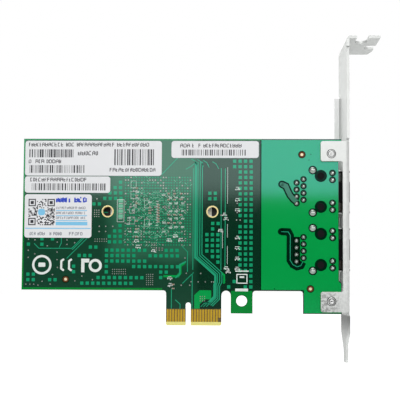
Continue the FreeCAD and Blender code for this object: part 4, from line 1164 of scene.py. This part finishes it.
@dataclass
class SolderSideLegend:
    """White ink on the solder side: part outlines, marks and plain signs.

    Places are (x, z) in mm. A sign is its (low, high) pairs and its corners' radius, a ring its
    middle, radii and sides, and the arcs are one arc's points with their steps to the next.
    """

    face: float
    thickness: float = 0.008
    line: float = 0.12
    fine: float = 0.08
    signs: tuple = (
        ((-55.5, -52.9), (21.2, 22.8), 0.4),
        ((-39.6, -38.4), (19.3, 24.3), 0.0),
        ((-38.4, -36.6), (22.9, 24.3), 0.0),
        ((18.8, 20.5), (17.5, 18.1), 0.0),
        ((17.2, 21.9), (12.6, 13.6), 0.0),
    )
    rings: tuple = (((-54.2, 22.0), 3.6, 2.75, 40), ((-34.4, 21.8), 2.45, 1.45, 32))
    arcs: tuple = (
        (-46.0, 24.1, 2.9, 0.0), (-47.0, 23.4, 2.9, 0.0), (-47.0, 20.6, 2.9, 0.0), (-46.0, 19.9, 2.9, 0.0),
    )
    bin_frame: tuple[Spot, Spot] = ((17.8, 21.5), (15.6, 18.8))
    bin_lid: tuple[Spot, Spot] = ((17.2, 20.0), (22.1, 20.0))
    array_frame: tuple[Spot, Spot] = ((-26.5, -24.0), (38.0, 46.2))
    chip_frames: tuple[Spot, ...] = (
        (-21.5, 50.6), (-21.5, 46.6), (-21.9, 41.2), (-21.9, 37.2), (-16.4, 43.2), (-16.4, 36.4),
    )
    chip_frame: Spot = (1.9, 2.6)
    uprights: tuple = (
        (14.2, (44.8, 58.3)), (14.2, (32.3, 37.3)), (14.2, (22.5, 29.2)), (12.4, (28.4, 34.9)),
    )
    marks: tuple[Spot, ...] = (
        (-19.2, 49.2), (-19.2, 46.6), (-20.0, 44.0), (-20.5, 42.1), (-22.1, 39.5), (-22.4, 37.4),
        (-21.8, 34.4), (-19.5, 34.4), (-14.4, 45.3), (-14.4, 37.1), (-9.4, 48.2), (-9.2, 37.9), (-9.2, 34.4),
        *((x, z) for x in (-6.8, -4.7, -2.3) for z in (47.1, 45.0, 42.1, 39.2, 36.0)),
    )
    names: tuple[Spot, ...] = (
        *((17.2, z) for z in (50.2, 46.0, 42.2, 32.1, 28.2, 24.4, 20.7)),
        (-5.6, 32.5), (-3.6, 31.2), (-8.0, 31.0), (-7.6, 17.0), (-7.4, 14.6), (-13.6, 27.0), (12.4, 40.6),
        (13.0, 39.0), (11.0, 34.6), (13.2, 20.9), (13.9, 19.6), (-19.4, 28.6), (-20.0, 30.6),
    )

    def build(self) -> None:
        """Prints the legend."""
        ink = FlatLayer(
            "solder_side_legend", SILK, "label_paper", self.face - Level.LEGEND.value, self.thickness,
        )
        self._signs(ink)
        self._outlines(ink)
        chance = random.Random(11)
        self._marks(ink, chance)
        self._names(ink, chance)
        ink.finished()

    def _signs(self, ink: FlatLayer) -> None:
        """Plain signs where such a card carries its marks."""
        for centre, outer, inner, sides in self.rings:
            ink.ring(centre, outer, inner, sides)
        for x, z, corner in self.signs:
            ink.between(x, z, corner)
        ink.comb(self.arcs, range(2), 0.75)
        ink.frame_line(*self.bin_frame, 0.35)
        ink.run(self.bin_lid, 0.4)

    def _outlines(self, ink: FlatLayer) -> None:
        """Outlines round parts that sit on this side or may be fitted."""
        ink.frame_line(*self.array_frame, self.line)
        for i in range(4):
            ink.between((-26.0, -24.5), (39.0 + 1.9 * i, 39.15 + 1.9 * i))
        wide, high = self.chip_frame
        for x, z in self.chip_frames:
            ink.frame_line((x, x + wide), (z, z + high), self.fine)
        for i in range(10):
            ink.between((-12.2, -11.3), (45.6 - 1.0 * i, 45.75 - 1.0 * i))
        for x, span in self.uprights:
            ink.between((x, x + self.line), span)

    def _marks(self, ink: FlatLayer, chance: random.Random) -> None:
        """Three short strokes and a bar at each small part behind the controller."""
        for x, z in self.marks:
            for i in range(3):
                spot = (x - 0.45 + 0.45 * i, z + chance.uniform(-0.12, 0.12))
                ink.plate(spot, (0.16, chance.uniform(0.4, 0.7)))
            ink.plate((x, z + chance.choice((-0.35, 0.0, 0.35))), (1.1, 0.14))

    def _names(self, ink: FlatLayer, chance: random.Random) -> None:
        """Four strokes and a bar where a small part has its name."""
        for x, z in self.names:
            for i in range(4):
                high = chance.uniform(0.35, 0.8)
                ink.plate((x + 0.5 * i, z + chance.uniform(-0.2, 0.2)), (0.28, high))
            ink.plate((x + 0.7, z + 0.75), (chance.uniform(0.8, 1.6), 0.2))


@dataclass
class PrintedLabel:
    """A paper label with rounded corners and print that spells nothing."""

    node: str
    corner: float = 1.0
    ink_thickness: float = 0.004
    rows: tuple[Row, ...] = ()

    def __post_init__(self) -> None:
        """Takes the label's place from its node."""
        low, high = corners_of(self.node)
        self.left, self.low, self.face = low.x, low.z, low.y
        self.wide, self.high = high.x - low.x, high.z - low.z
        self.paper = FlatLayer(f"{self.node}_paper", PAPER, "label_paper", high.y, high.y - low.y)

    def build(self) -> None:
        """Cuts the paper and prints it."""
        middle = (self.left + self.wide / 2, self.low + self.high / 2)
        self.paper.plate(middle, (self.wide, self.high), self.corner)
        self.paper.finished([self.node])
        self.print()

    def print(self) -> None:
        """Prints the label's rows in one ink."""
        ink = self.ink("print", INK)
        for row in self.rows:
            self.print_row(ink, row)
        ink.finished()

    def ink(self, name: str, finish: Finish) -> FlatLayer:
        """A layer of ink on the paper."""
        return FlatLayer(f"{self.node}_{name}", finish, "label_paper", self.face, self.ink_thickness)

    def on_label(self, x: Spot, z: Spot) -> tuple[Spot, Spot]:
        """Moves (low, high) pairs from the label's lower left corner to the card's frame."""
        return (self.left + x[0], self.left + x[1]), (self.low + z[0], self.low + z[1])

    def print_row(self, ink: FlatLayer, row: Row) -> None:
        """Prints one row in an ink."""
        x, z = self.on_label(row.x, row.z)
        if row.kind is Print.BARS:
            self.bars(ink, x, z, row)
        else:
            self.strokes(ink, x, z, row)

    def bars(self, ink: FlatLayer, x: Spot, z: Spot, row: Row) -> None:
        """Prints upright bars of seeded widths, of which the row's share is inked.

        Args:
            ink: the layer that takes them.
            x, z: the row's (low, high) ends and heights.
            row: its seed and share.
        """
        chance = random.Random(row.seed)
        at = x[0]
        while at < x[1] - 0.2:
            width = min(chance.choice((0.2, 0.2, 0.4, 0.6)) * row.share * 2, x[1] - at)
            ink.between((at, at + width), z)
            at += width + chance.choice((0.2, 0.3, 0.5)) * (1.5 - row.share)

    def strokes(self, ink: FlatLayer, x: Spot, z: Spot, row: Row) -> None:
        """Prints seeded strokes that look like small type, as thick as the row's share of its height.

        Args:
            ink: the layer that takes them.
            x, z: the row's (low, high) ends and heights.
            row: its seed and share.
        """
        chance = random.Random(row.seed)
        tall = z[1] - z[0]
        at = x[0]
        while at < x[1] - tall * 0.5:
            width = tall * chance.choice((0.35, 0.5, 0.6))
            if chance.random() < 0.12:
                at += tall * 0.5
                continue
            thick = tall * row.share
            ink.between((at, at + thick), (z[0], z[1] - tall * chance.choice((0.0, 0.2))))
            for level in chance.sample((0.0, 0.42, 0.82), 2):
                ink.between((at + thick, at + width), (z[0] + tall * level, z[0] + tall * level + thick))
            if chance.random() < 0.6:
                ink.between((at + width, at + width + thick), (z[0] + tall * 0.1, z[0] + tall * 0.9))
            at += width + tall * 0.3


@dataclass
class ProductLabel(PrintedLabel):
    """The large label: three lines of type and three bar rows, as the photograph shows them."""

    rows: tuple[Row, ...] = (
        Row(Print.TYPE, (1.3, 47.4), (10.9, 12.3), 3),
        Row(Print.BARS, (1.5, 18.6), (6.8, 9.8), 5, 0.5),
        Row(Print.TYPE, (19.6, 27.4), (7.6, 9.2), 6),
        Row(Print.TYPE, (1.3, 14.2), (4.6, 6.0), 7),
        Row(Print.BARS, (1.7, 22.8), (1.0, 3.9), 8, 0.4),
        Row(Print.BARS, (33.2, 48.0), (3.9, 9.9), 9, 0.4),
        Row(Print.TYPE, (30.8, 48.4), (1.5, 2.9), 10),
    )


@dataclass
class SerialLabel(PrintedLabel):
    """The strip below it: a line of type over a bar row."""

    rows: tuple[Row, ...] = (
        Row(Print.TYPE, (2.0, 23.4), (4.2, 5.6), 13),
        Row(Print.BARS, (2.6, 30.2), (0.9, 3.5), 14, 0.4),
    )


@dataclass
class AddressLabel(PrintedLabel):
    """The strip at the top middle: a line of type over a bar row."""

    rows: tuple[Row, ...] = (
        Row(Print.TYPE, (3.2, 26.4), (3.9, 5.3), 17),
        Row(Print.BARS, (3.8, 27.8), (0.9, 3.1), 18, 0.35),
    )


@dataclass
class WarrantyLabel(PrintedLabel):
    """The square label: a block of dots, coloured bars and lines of strokes.

    The block has a ringed square, its eye, in three corners. Eyes, their quiet strips and the
    empty middle are counted in dots.
    """

    block_corner: Spot = (1.4, 4.6)
    block_size: float = 9.8
    cells: int = 25
    eye: int = 7
    quiet: int = 8
    empty: int = 4
    dot_share: float = 0.48
    dot_size: float = 0.98
    seal: Spot = (6.3, 9.5)
    seal_size: Spot = (2.6, 2.4)
    heading: Row = Row(Print.TYPE, (11.6, 22.8), (13.1, 14.9), 21, 0.32)
    line_heights: Triple = (11.1, 9.2, 7.4)
    foot_words: tuple[Spot, ...] = ((2.0, 7.4), (9.4, 14.4), (16.6, 22.0))

    def print(self) -> None:
        """Prints the block, the bars and the lines."""
        black, grey = self.ink("black", INK), self.ink("grey", INK_GREY)
        blue, sky = self.ink("blue", INK_BLUE), self.ink("sky", INK_SKY)
        self._dots(black, self.left + self.block_corner[0], self.low + self.block_corner[1])
        sky.plate((self.left + self.seal[0], self.low + self.seal[1]), self.seal_size, 0.9)
        self.print_row(blue, self.heading)
        for i, height in enumerate(self.line_heights):
            self.print_row(grey, Row(Print.TYPE, (11.7, 22.9), (height - 0.45, height + 0.45), 22 + i))
            sky.between(*self.on_label((11.7, 23.2), (height - 1.15, height - 0.85)))
        sky.between(*self.on_label((11.6, 23.4), (4.6, 5.9)), 0.2)
        sky.between(*self.on_label((0.3, self.wide - 0.3), (3.3, 3.65)))
        for i, word in enumerate(self.foot_words):
            self.print_row(grey, Row(Print.TYPE, word, (0.9, 2.1), 31 + i))
        for layer in (black, grey, blue, sky):
            layer.finished()

    def _dots(self, ink: FlatLayer, left: float, low: float) -> None:
        """A square of seeded dots with a ringed square in three corners."""
        chance = random.Random(23)
        pitch = self.block_size / self.cells
        last, middle = self.cells - 1, self.cells // 2
        for row in range(self.cells):
            for column in range(self.cells):
                near = min(column, last - column) < self.quiet and min(row, last - row) < self.quiet
                centre = abs(column - middle) < self.empty and abs(row - middle) < self.empty
                ringed = near and not (row < self.quiet and column > middle)
                if not ringed and not centre and chance.random() < self.dot_share:
                    spot = (left + pitch * (column + 0.5), low + pitch * (row + 0.5))
                    ink.plate(spot, (pitch * self.dot_size, pitch * self.dot_size))
        far = self.cells - self.eye
        for column, row in ((0, 0), (0, far), (far, far)):
            x, z = left + pitch * column, low + pitch * row
            ring = (self.eye - 0.5) * pitch
            ink.frame_line((x + pitch / 2, x + ring), (z + pitch / 2, z + ring), pitch)
            ink.between((x + 2 * pitch, x + 5 * pitch), (z + 2 * pitch, z + 5 * pitch))


@dataclass
class SolderJoints:
    """Solder fillets with the clipped pin ends that stand out of them.

    An outline is (share of the radius, share of the height) of its points, from the board out.
    """

    fillet: tuple[Spot, ...] = ((1.0, 0.0), (0.96, 0.1), (0.7, 0.38), (0.5, 0.66), (0.3, 0.92), (0.0, 1.0))
    pin_radius: float = 0.22
    pin_start: float = 0.6
    pin: tuple[Spot, ...] = ((0.0, 0.0), (1.0, 0.0), (1.0, 0.45), (0.6, 0.55), (0.0, 0.57))

    def build(self) -> None:
        """Turns one fillet at each joint of the frame."""
        fillets, pins = bmesh.new(), bmesh.new()
        for low, high in solids_of("solder_joints"):
            radius, height = (high.x - low.x) / 2, high.y - low.y
            x, z = middle_of(low, high)
            turn(fillets, (x, high.y, z), [(radius * r, -height * out) for r, out in self.fillet], 16)
            pin = [(self.pin_radius * r, -height * out) for r, out in self.pin]
            turn(pins, (x, high.y - height * self.pin_start, z), pin, 10)
        finish_piece(fillets, "solder_fillets", FILLET, ["solder_joints"], soft=60.0)
        finish_piece(pins, "pin_ends", PIN)


@dataclass
class ChipParts:
    """Small ceramic chips with metal end caps, in the places of a frame node."""

    node: str
    body: Finish
    slot: str
    shortest: float = 0.7
    cap_share: float = 0.25
    inset_share: Triple = (0.06, 0.03, 0.06)
    body_edge: float = 0.03
    cap_edge: float = 0.05

    def build(self) -> None:
        """Builds every body and every pair of end caps of the node."""
        bodies, caps = bmesh.new(), bmesh.new()
        for low, high in solids_of(self.node):
            size = high - low
            along = 0 if size.x > size.z else 2
            if size[along] < self.shortest:
                continue
            cap = size[along] * self.cap_share
            inset = Vector([length * share for length, share in zip(size, self.inset_share)])
            inset[along] = cap
            block(bodies, low + inset, high - inset, self.body_edge, 1)
            for end in (low[along], high[along] - cap):
                cap_low, cap_high = low.copy(), high.copy()
                cap_low[along], cap_high[along] = end, end + cap
                block(caps, cap_low, cap_high, self.cap_edge)
        finish_piece(bodies, f"{self.node}_bodies", self.body, [self.node])
        finish_piece(caps, f"{self.node}_caps", TIN)


@dataclass
class ScrewEnds:
    """The ends of the two bracket screws, seen in the bracket's ears. Radii are in mm."""

    ear_face: float
    # radii of the painted shadow ring round each end
    gap: Spot = (1.7, 1.45)
    # radii of the painted groove shade, set lower by the drop and sunk into the end
    groove: Spot = (1.22, 0.98)
    groove_shade_drop: float = 0.12
    groove_sink: float = 0.005
    point: tuple[Spot, ...] = (
        (0.0, 0.0), (0.85, 0.0), (0.8, -0.06), (0.55, -0.1), (0.4, -0.02), (0.0, 0.04),
    )

    def build(self) -> None:
        """A painted shadow ring round each end, a painted shade ring on it, set lower, where the groove of
        the screw lies, and the point that the die left.
        """
        screws = solids_of("bracket_screws")
        end = screws[0][0].y
        # painted shadow: flat black rings round the screw ends
        gaps = FlatLayer("screw_painted_shadow_rings", MOULDING, "black_moulding", self.ear_face, 0.01)
        # painted shade: flat dark grey rings, set lower for the dark crescent at the bottom
        groove_shades = FlatLayer("screw_groove_painted_shade", GROOVE_SHADE, "screw_steel", end - self.groove_sink, 0.02)
        points = bmesh.new()
        for low, high in screws:
            x, z = middle_of(low, high)
            gaps.ring((x, z), *self.gap)
            groove_shades.ring((x, z - self.groove_shade_drop), *self.groove)
            turn(points, (x, low.y, z), self.point)
        gaps.finished()
        groove_shades.finished()
        finish_piece(points, "screw_thread_points", SCREW, soft=25.0)


@dataclass
class ComponentSideArt:
    """Copper and legend on the component side, laid round the parts that stand there.

    Places are (x, z) in mm. A comb of runs is the first one's points with their steps in x and z
    from run to run, how many there are and how wide.
    """

    face: float
    left: float
    right: float
    top: float
    film: float = 0.008
    pour_corner: float = 0.6
    port_middles: Spot = (49.5, 28.1)
    combs: tuple = (
        (((1.5, 6.4, 1.0, 0.0), (1.5, 11.0, 1.0, 0.4), (-2.5, 15.0, 0.6, 0.8), (-2.5, 22.4, 0.6, 0.0)),
         9, 0.2),
        (((-30.2, 32.0, 0.0, 2.4), (-33.4, 32.0, 0.0, 2.4), (-36.0, 33.8, 0.0, 2.4), (-42.0, 33.8, 0.0, 2.4)),
         8, 0.24),
        (((-24.0, 61.4, 2.0, 0.0), (-24.0, 64.4, 2.0, 0.0), (-18.0, 67.2, 3.0, 0.0)), 6, 0.22),
    )
    via_tries: int = 230
    via_area: tuple[Spot, Spot] = ((1.2, 34.0), (13.4, 1.2))
    via_gap: float = 0.5
    via_radius: float = 0.24
    line: float = 0.16
    gap: float = 0.45
    lead_gap: float = 1.4
    leaded: tuple[str, ...] = (
        "line_transformer_1", "line_transformer_2", "eeprom_body", "flash_memory_body",
        "step_down_converter_body",
    )
    leadless: tuple[str, ...] = (
        "inductor_1_core", "inductor_2_core", "capacitor_1_base", "capacitor_2_base", "crystal_base",
    )

    def build(self) -> None:
        """Lays the copper, then the vias, then the legend."""
        self._pour()
        self._runs()
        self._vias()
        self._legend()

    def _layer(self, name: str, finish: Finish, films: int, slot: str = "solder_mask") -> FlatLayer:
        """A layer that lies that many films out from the component face."""
        return FlatLayer(name, finish, slot, self.face + self.film * films, FILM, Side.COMPONENT)

    def _pour(self) -> None:
        """The ports' ground and the supply areas."""
        pour = self._layer("component_pour", POUR, 0)
        edge = self.left + 0.8
        for x, z in (
            ((32.5, self.right - 1.0), (13.6, self.top - 0.8)), ((edge, -43.0), (43.4, 57.8)),
            ((edge, -42.4), (13.4, 29.6)),
        ):
            pour.between(x, z, self.pour_corner)
        pour.finished()

    def _runs(self) -> None:
        """The pairs from the ports to the controller, and the runs to contacts, memories and supplies."""
        runs = self._layer("component_runs", RUNS, 1)
        for port in self.port_middles:
            for i in range(4):
                z = port - 3.9 + 2.6 * i
                for lane in (0.0, 0.5):
                    start = (10.2, 41.85 + (z - 38.8) * 0.45 + lane)
                    runs.run([(20.6, z + lane), (14.8, z + lane), start], 0.2)
                    runs.run([(31.9, z + lane), (36.5, z + lane)], 0.2)
        for points, count, width in self.combs:
            runs.comb(points, range(count), width)
        runs.finished()

    def _vias(self) -> None:
        """Plated holes strewn between the parts."""
        vias = self._layer("component_vias", TIN, 2, "solder")
        chance = random.Random(29)
        bare = ("circuit_board", "mounting_bracket", "edge_contacts")
        taken = [corners_of(name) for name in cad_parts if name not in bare]
        (left, right), (low_edge, top) = self.via_area
        gap = self.via_gap
        for _ in range(self.via_tries):
            x, z = chance.uniform(self.left + left, right), chance.uniform(low_edge, self.top - top)
            free = all(
                high.y < self.face or x < low.x - gap or x > high.x + gap
                or z < low.z - gap or z > high.z + gap for low, high in taken
            )
            if free:
                vias.disc((round(x * 2) / 2, round(z * 2) / 2), self.via_radius)
        vias.finished()

    def _legend(self) -> None:
        """White outlines round the parts, with a dot at the first pin."""
        ink = self._layer("component_side_legend", SILK, 3, "label_paper")
        for names, wider in ((self.leaded, self.lead_gap), (self.leadless, 0.0)):
            for name in names:
                low, high = corners_of(name)
                x = (low.x - self.gap - wider, high.x + self.gap + wider)
                z = (low.z - self.gap, high.z + self.gap)
                ink.frame_line(x, z, self.line)
                ink.disc((x[0] - 0.5, z[1] + 0.2), 0.3, 12)
        for name in ("port_1_shield", "port_2_shield"):
            low, high = corners_of(name)
            ink.run([(low.x - 0.4, low.z + 0.4), (low.x - 0.4, high.z - 0.4)], self.line)
        low, high = corners_of("heatsink")
        for x, z, right, up in ((low.x, low.z, 1, 1), (high.x, low.z, -1, 1), (low.x, high.z, 1, -1),
                                (high.x, high.z, -1, -1)):
            out = (x - 0.6 * right, z - 0.6 * up)
            ink.run([(out[0], z + 3 * up), out, (x + 3 * right, out[1])], self.line)
        ink.finished()


@dataclass
class CarriedOver:
    """The frame's own nodes that keep their shape, each with its finish."""

    dressed: tuple[tuple[Finish, str], ...] = (
        (LACQUER, "circuit_board"), (GOLD, "edge_contacts"), (RING, "heatsink_hole_plating"),
        (STEEL, "mounting_bracket"), (SCREW, "bracket_screws"), (SUBSTRATE, "controller_substrate"),
        (SILICON, "controller_die"), (TIN, "controller_solder_balls terminals"), (PAD, "thermal_pad"),
        (EXTRUSION, "heatsink"), (CRYSTAL, "crystal_can"), (LENS_GREEN, "link_led"),
        (LENS_AMBER, "activity_led"), (SHIELD, "shield leads"), (WIRE, "contacts"), (FERRITE, "core"),
        (CAN, "can"), (MOULDING, "housing line_transformer_1 line_transformer_2 base body"),
    )

    def build(self) -> None:
        """Gives each node the finish of its own name, or of the longest ending that fits it."""
        finishes = {ending: finish for finish, endings in self.dressed for ending in endings.split()}
        for name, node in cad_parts.items():
            fits = [ending for ending in finishes if name == ending or name.endswith("_" + ending)]
            if not fits:
                continue
            finish = finishes[max(fits, key=len)]
            for place in node.material_slots:
                place.material = finish.material()
            log.info("%s: %s", name, finish.name)


# The studio


@dataclass
class PhotoCamera:
    """The photograph's camera, in front of the solder side and low on the card."""

    place: Triple = (14.88, -248.225, 16.16)
    pitch: float = 2.505
    swing: float = 1.11
    roll: float = 0.311
    focal: float = 60.64
    sensor: float = 36.0
    shift: Spot = (-0.04, 0.13)
    reach: Spot = (0.01, 20.0)

    def build(self) -> None:
        """Makes it the scene's camera."""
        lens = bpy.data.cameras.new("photo_camera")
        lens.lens, lens.sensor_width = self.focal, self.sensor
        lens.shift_x, lens.shift_y = self.shift
        lens.clip_start, lens.clip_end = self.reach
        camera = bpy.data.objects.new("photo_camera", lens)
        camera.matrix_world = (
            Matrix.Translation(Vector(self.place) * MM) @ Matrix.Rotation(math.radians(self.swing), 4, "Z")
            @ Matrix.Rotation(math.radians(90.0 + self.pitch), 4, "X")
            @ Matrix.Rotation(math.radians(self.roll), 4, "Z")
        )
        bpy.context.scene.collection.objects.link(camera)
        bpy.context.scene.camera = camera


@dataclass
class Studio:
    """Plain pale floor, white surroundings and soft lamps. Lengths are in mm, power in watts."""

    floor_height: float = -75.0
    floor_half: float = 4000.0
    floor_dark: Colour = srgb(240, 240, 240)
    floor_light: Colour = srgb(246, 246, 246)
    floor_glow: float = 0.95
    floor_near: Spot = (-1.2, -0.3)
    ambient: float = 0.29
    dim_front: float = 0.08
    front_spread: Spot = (0.55, 0.85)
    lamps: tuple = (
        ("front_softbox", (0.0, -500.0, 302.0), 90.0, (600.0, 380.0), 2.2),
        ("back_softbox", (60.0, 520.0, 330.0), -80.0, (600.0, 360.0), 1.4),
        ("top_softbox", (0.0, -60.0, 620.0), 0.0, (500.0, 400.0), 1.6),
    )

    def build(self) -> None:
        """Sets up the floor, the surroundings and the lamps."""
        self._floor()
        self._surroundings()
        for lamp in self.lamps:
            self._softbox(*lamp)

    def _softbox(self, name: str, place: Triple, tilt: float, size: Spot, power: float) -> None:
        """Adds a rectangular lamp.

        Args:
            name: the lamp's name.
            place: its middle in mm.
            tilt: its turn about X in degrees.
            size: its width and height in mm.
            power: its power in watts.
        """
        lamp = bpy.data.lights.new(name, "AREA")
        lamp.shape = "RECTANGLE"
        lamp.size, lamp.size_y = size[0] * MM, size[1] * MM
        lamp.energy = power
        stand = bpy.data.objects.new(name, lamp)
        stand.location = Vector(place) * MM
        stand.rotation_euler = (math.radians(tilt), 0.0, 0.0)
        stand.visible_camera = False
        bpy.context.scene.collection.objects.link(stand)

    def _floor(self) -> None:
        """A white floor well below the card, pale to the camera and still shaded by the card."""
        mesh = bmesh.new()
        level = Matrix.Translation((0.0, 0.0, self.floor_height * MM))
        bmesh.ops.create_grid(mesh, x_segments=1, y_segments=1, size=self.floor_half * MM, matrix=level)
        data = bpy.data.meshes.new("studio_floor")
        mesh.to_mesh(data)
        mesh.free()
        data.materials.append(self._floor_paint())
        floor = bpy.data.objects.new("studio_floor", data)
        bpy.context.scene.collection.objects.link(floor)

    def _floor_paint(self) -> Material:
        """Matt white that glows to the camera, and less in reflections from in front of the card."""
        graph = Paint("studio floor")
        seen, glossy, through = graph.rays()
        near = graph.place()[1].ramp(*self.floor_near) * (1.0 - self.dim_front) + self.dim_front
        glow = (seen + through + glossy * near) * self.floor_glow
        colour = graph.blend(graph.noise(3.0, 2.0), self.floor_dark, self.floor_light)
        matt = graph.node("ShaderNodeBsdfDiffuse", inputs={"Color": colour})
        light = graph.node("ShaderNodeEmission", inputs={"Color": WHITE, "Strength": glow})
        both = graph.node("ShaderNodeAddShader", inputs={0: matt.outputs[0], 1: light.outputs[0]})
        graph.node("ShaderNodeOutputMaterial", inputs={"Surface": both.outputs[0]})
        return graph.material

    def _surroundings(self) -> None:
        """White behind the card and in its reflections, dim low in front of it, even light elsewhere."""
        world = bpy.data.worlds.new("studio")
        world.use_nodes = True
        bpy.context.scene.world = world
        graph = Graph(world.node_tree)
        seen, glossy, through = graph.rays()
        mirrored = glossy + through
        generated = graph.signal("ShaderNodeTexCoord", output="Generated")
        way = graph.node("ShaderNodeSeparateXYZ", inputs={0: generated})
        low_front = Signal(graph, way.outputs[1]) * -1.0 - Signal(graph, way.outputs[2]) * 0.25
        reflected = 1.0 - low_front.ramp(*self.front_spread) * (1.0 - self.dim_front)
        strength = seen + mirrored * reflected + (1.0 - seen - mirrored) * self.ambient
        light = graph.node("ShaderNodeBackground", inputs={"Color": WHITE, "Strength": strength})
        graph.node("ShaderNodeOutputWorld", inputs={"Surface": light.outputs[0]})


def main() -> None:
    """Builds the camera, the studio and the card's pieces in order."""
    logging.basicConfig(level=logging.INFO, format="%(message)s")
    bpy.context.scene.view_settings.view_transform = "Standard"
    PhotoCamera().build()
    Studio().build()
    CarriedOver().build()
    low, high = corners_of("circuit_board")
    SolderSideCopper(low.y, low.x, high.x, high.z).build()
    SolderSideLegend(low.y).build()
    ProductLabel("label_product").build()
    SerialLabel("label_serial").build()
    WarrantyLabel("label_warranty").build()
    AddressLabel("label_address").build()
    SolderJoints().build()
    ChipParts("solder_side_capacitors", CERAMIC, "capacitor_ceramic").build()
    ChipParts("solder_side_resistors", RESISTOR, "resistor_ceramic").build()
    ChipParts("component_side_resistors", RESISTOR, "resistor_ceramic").build()
    ScrewEnds(corners_of("mounting_bracket")[0].y).build()
    ComponentSideArt(high.y, low.x, high.x, high.z).build()


if __name__ == "__main__":
    main()
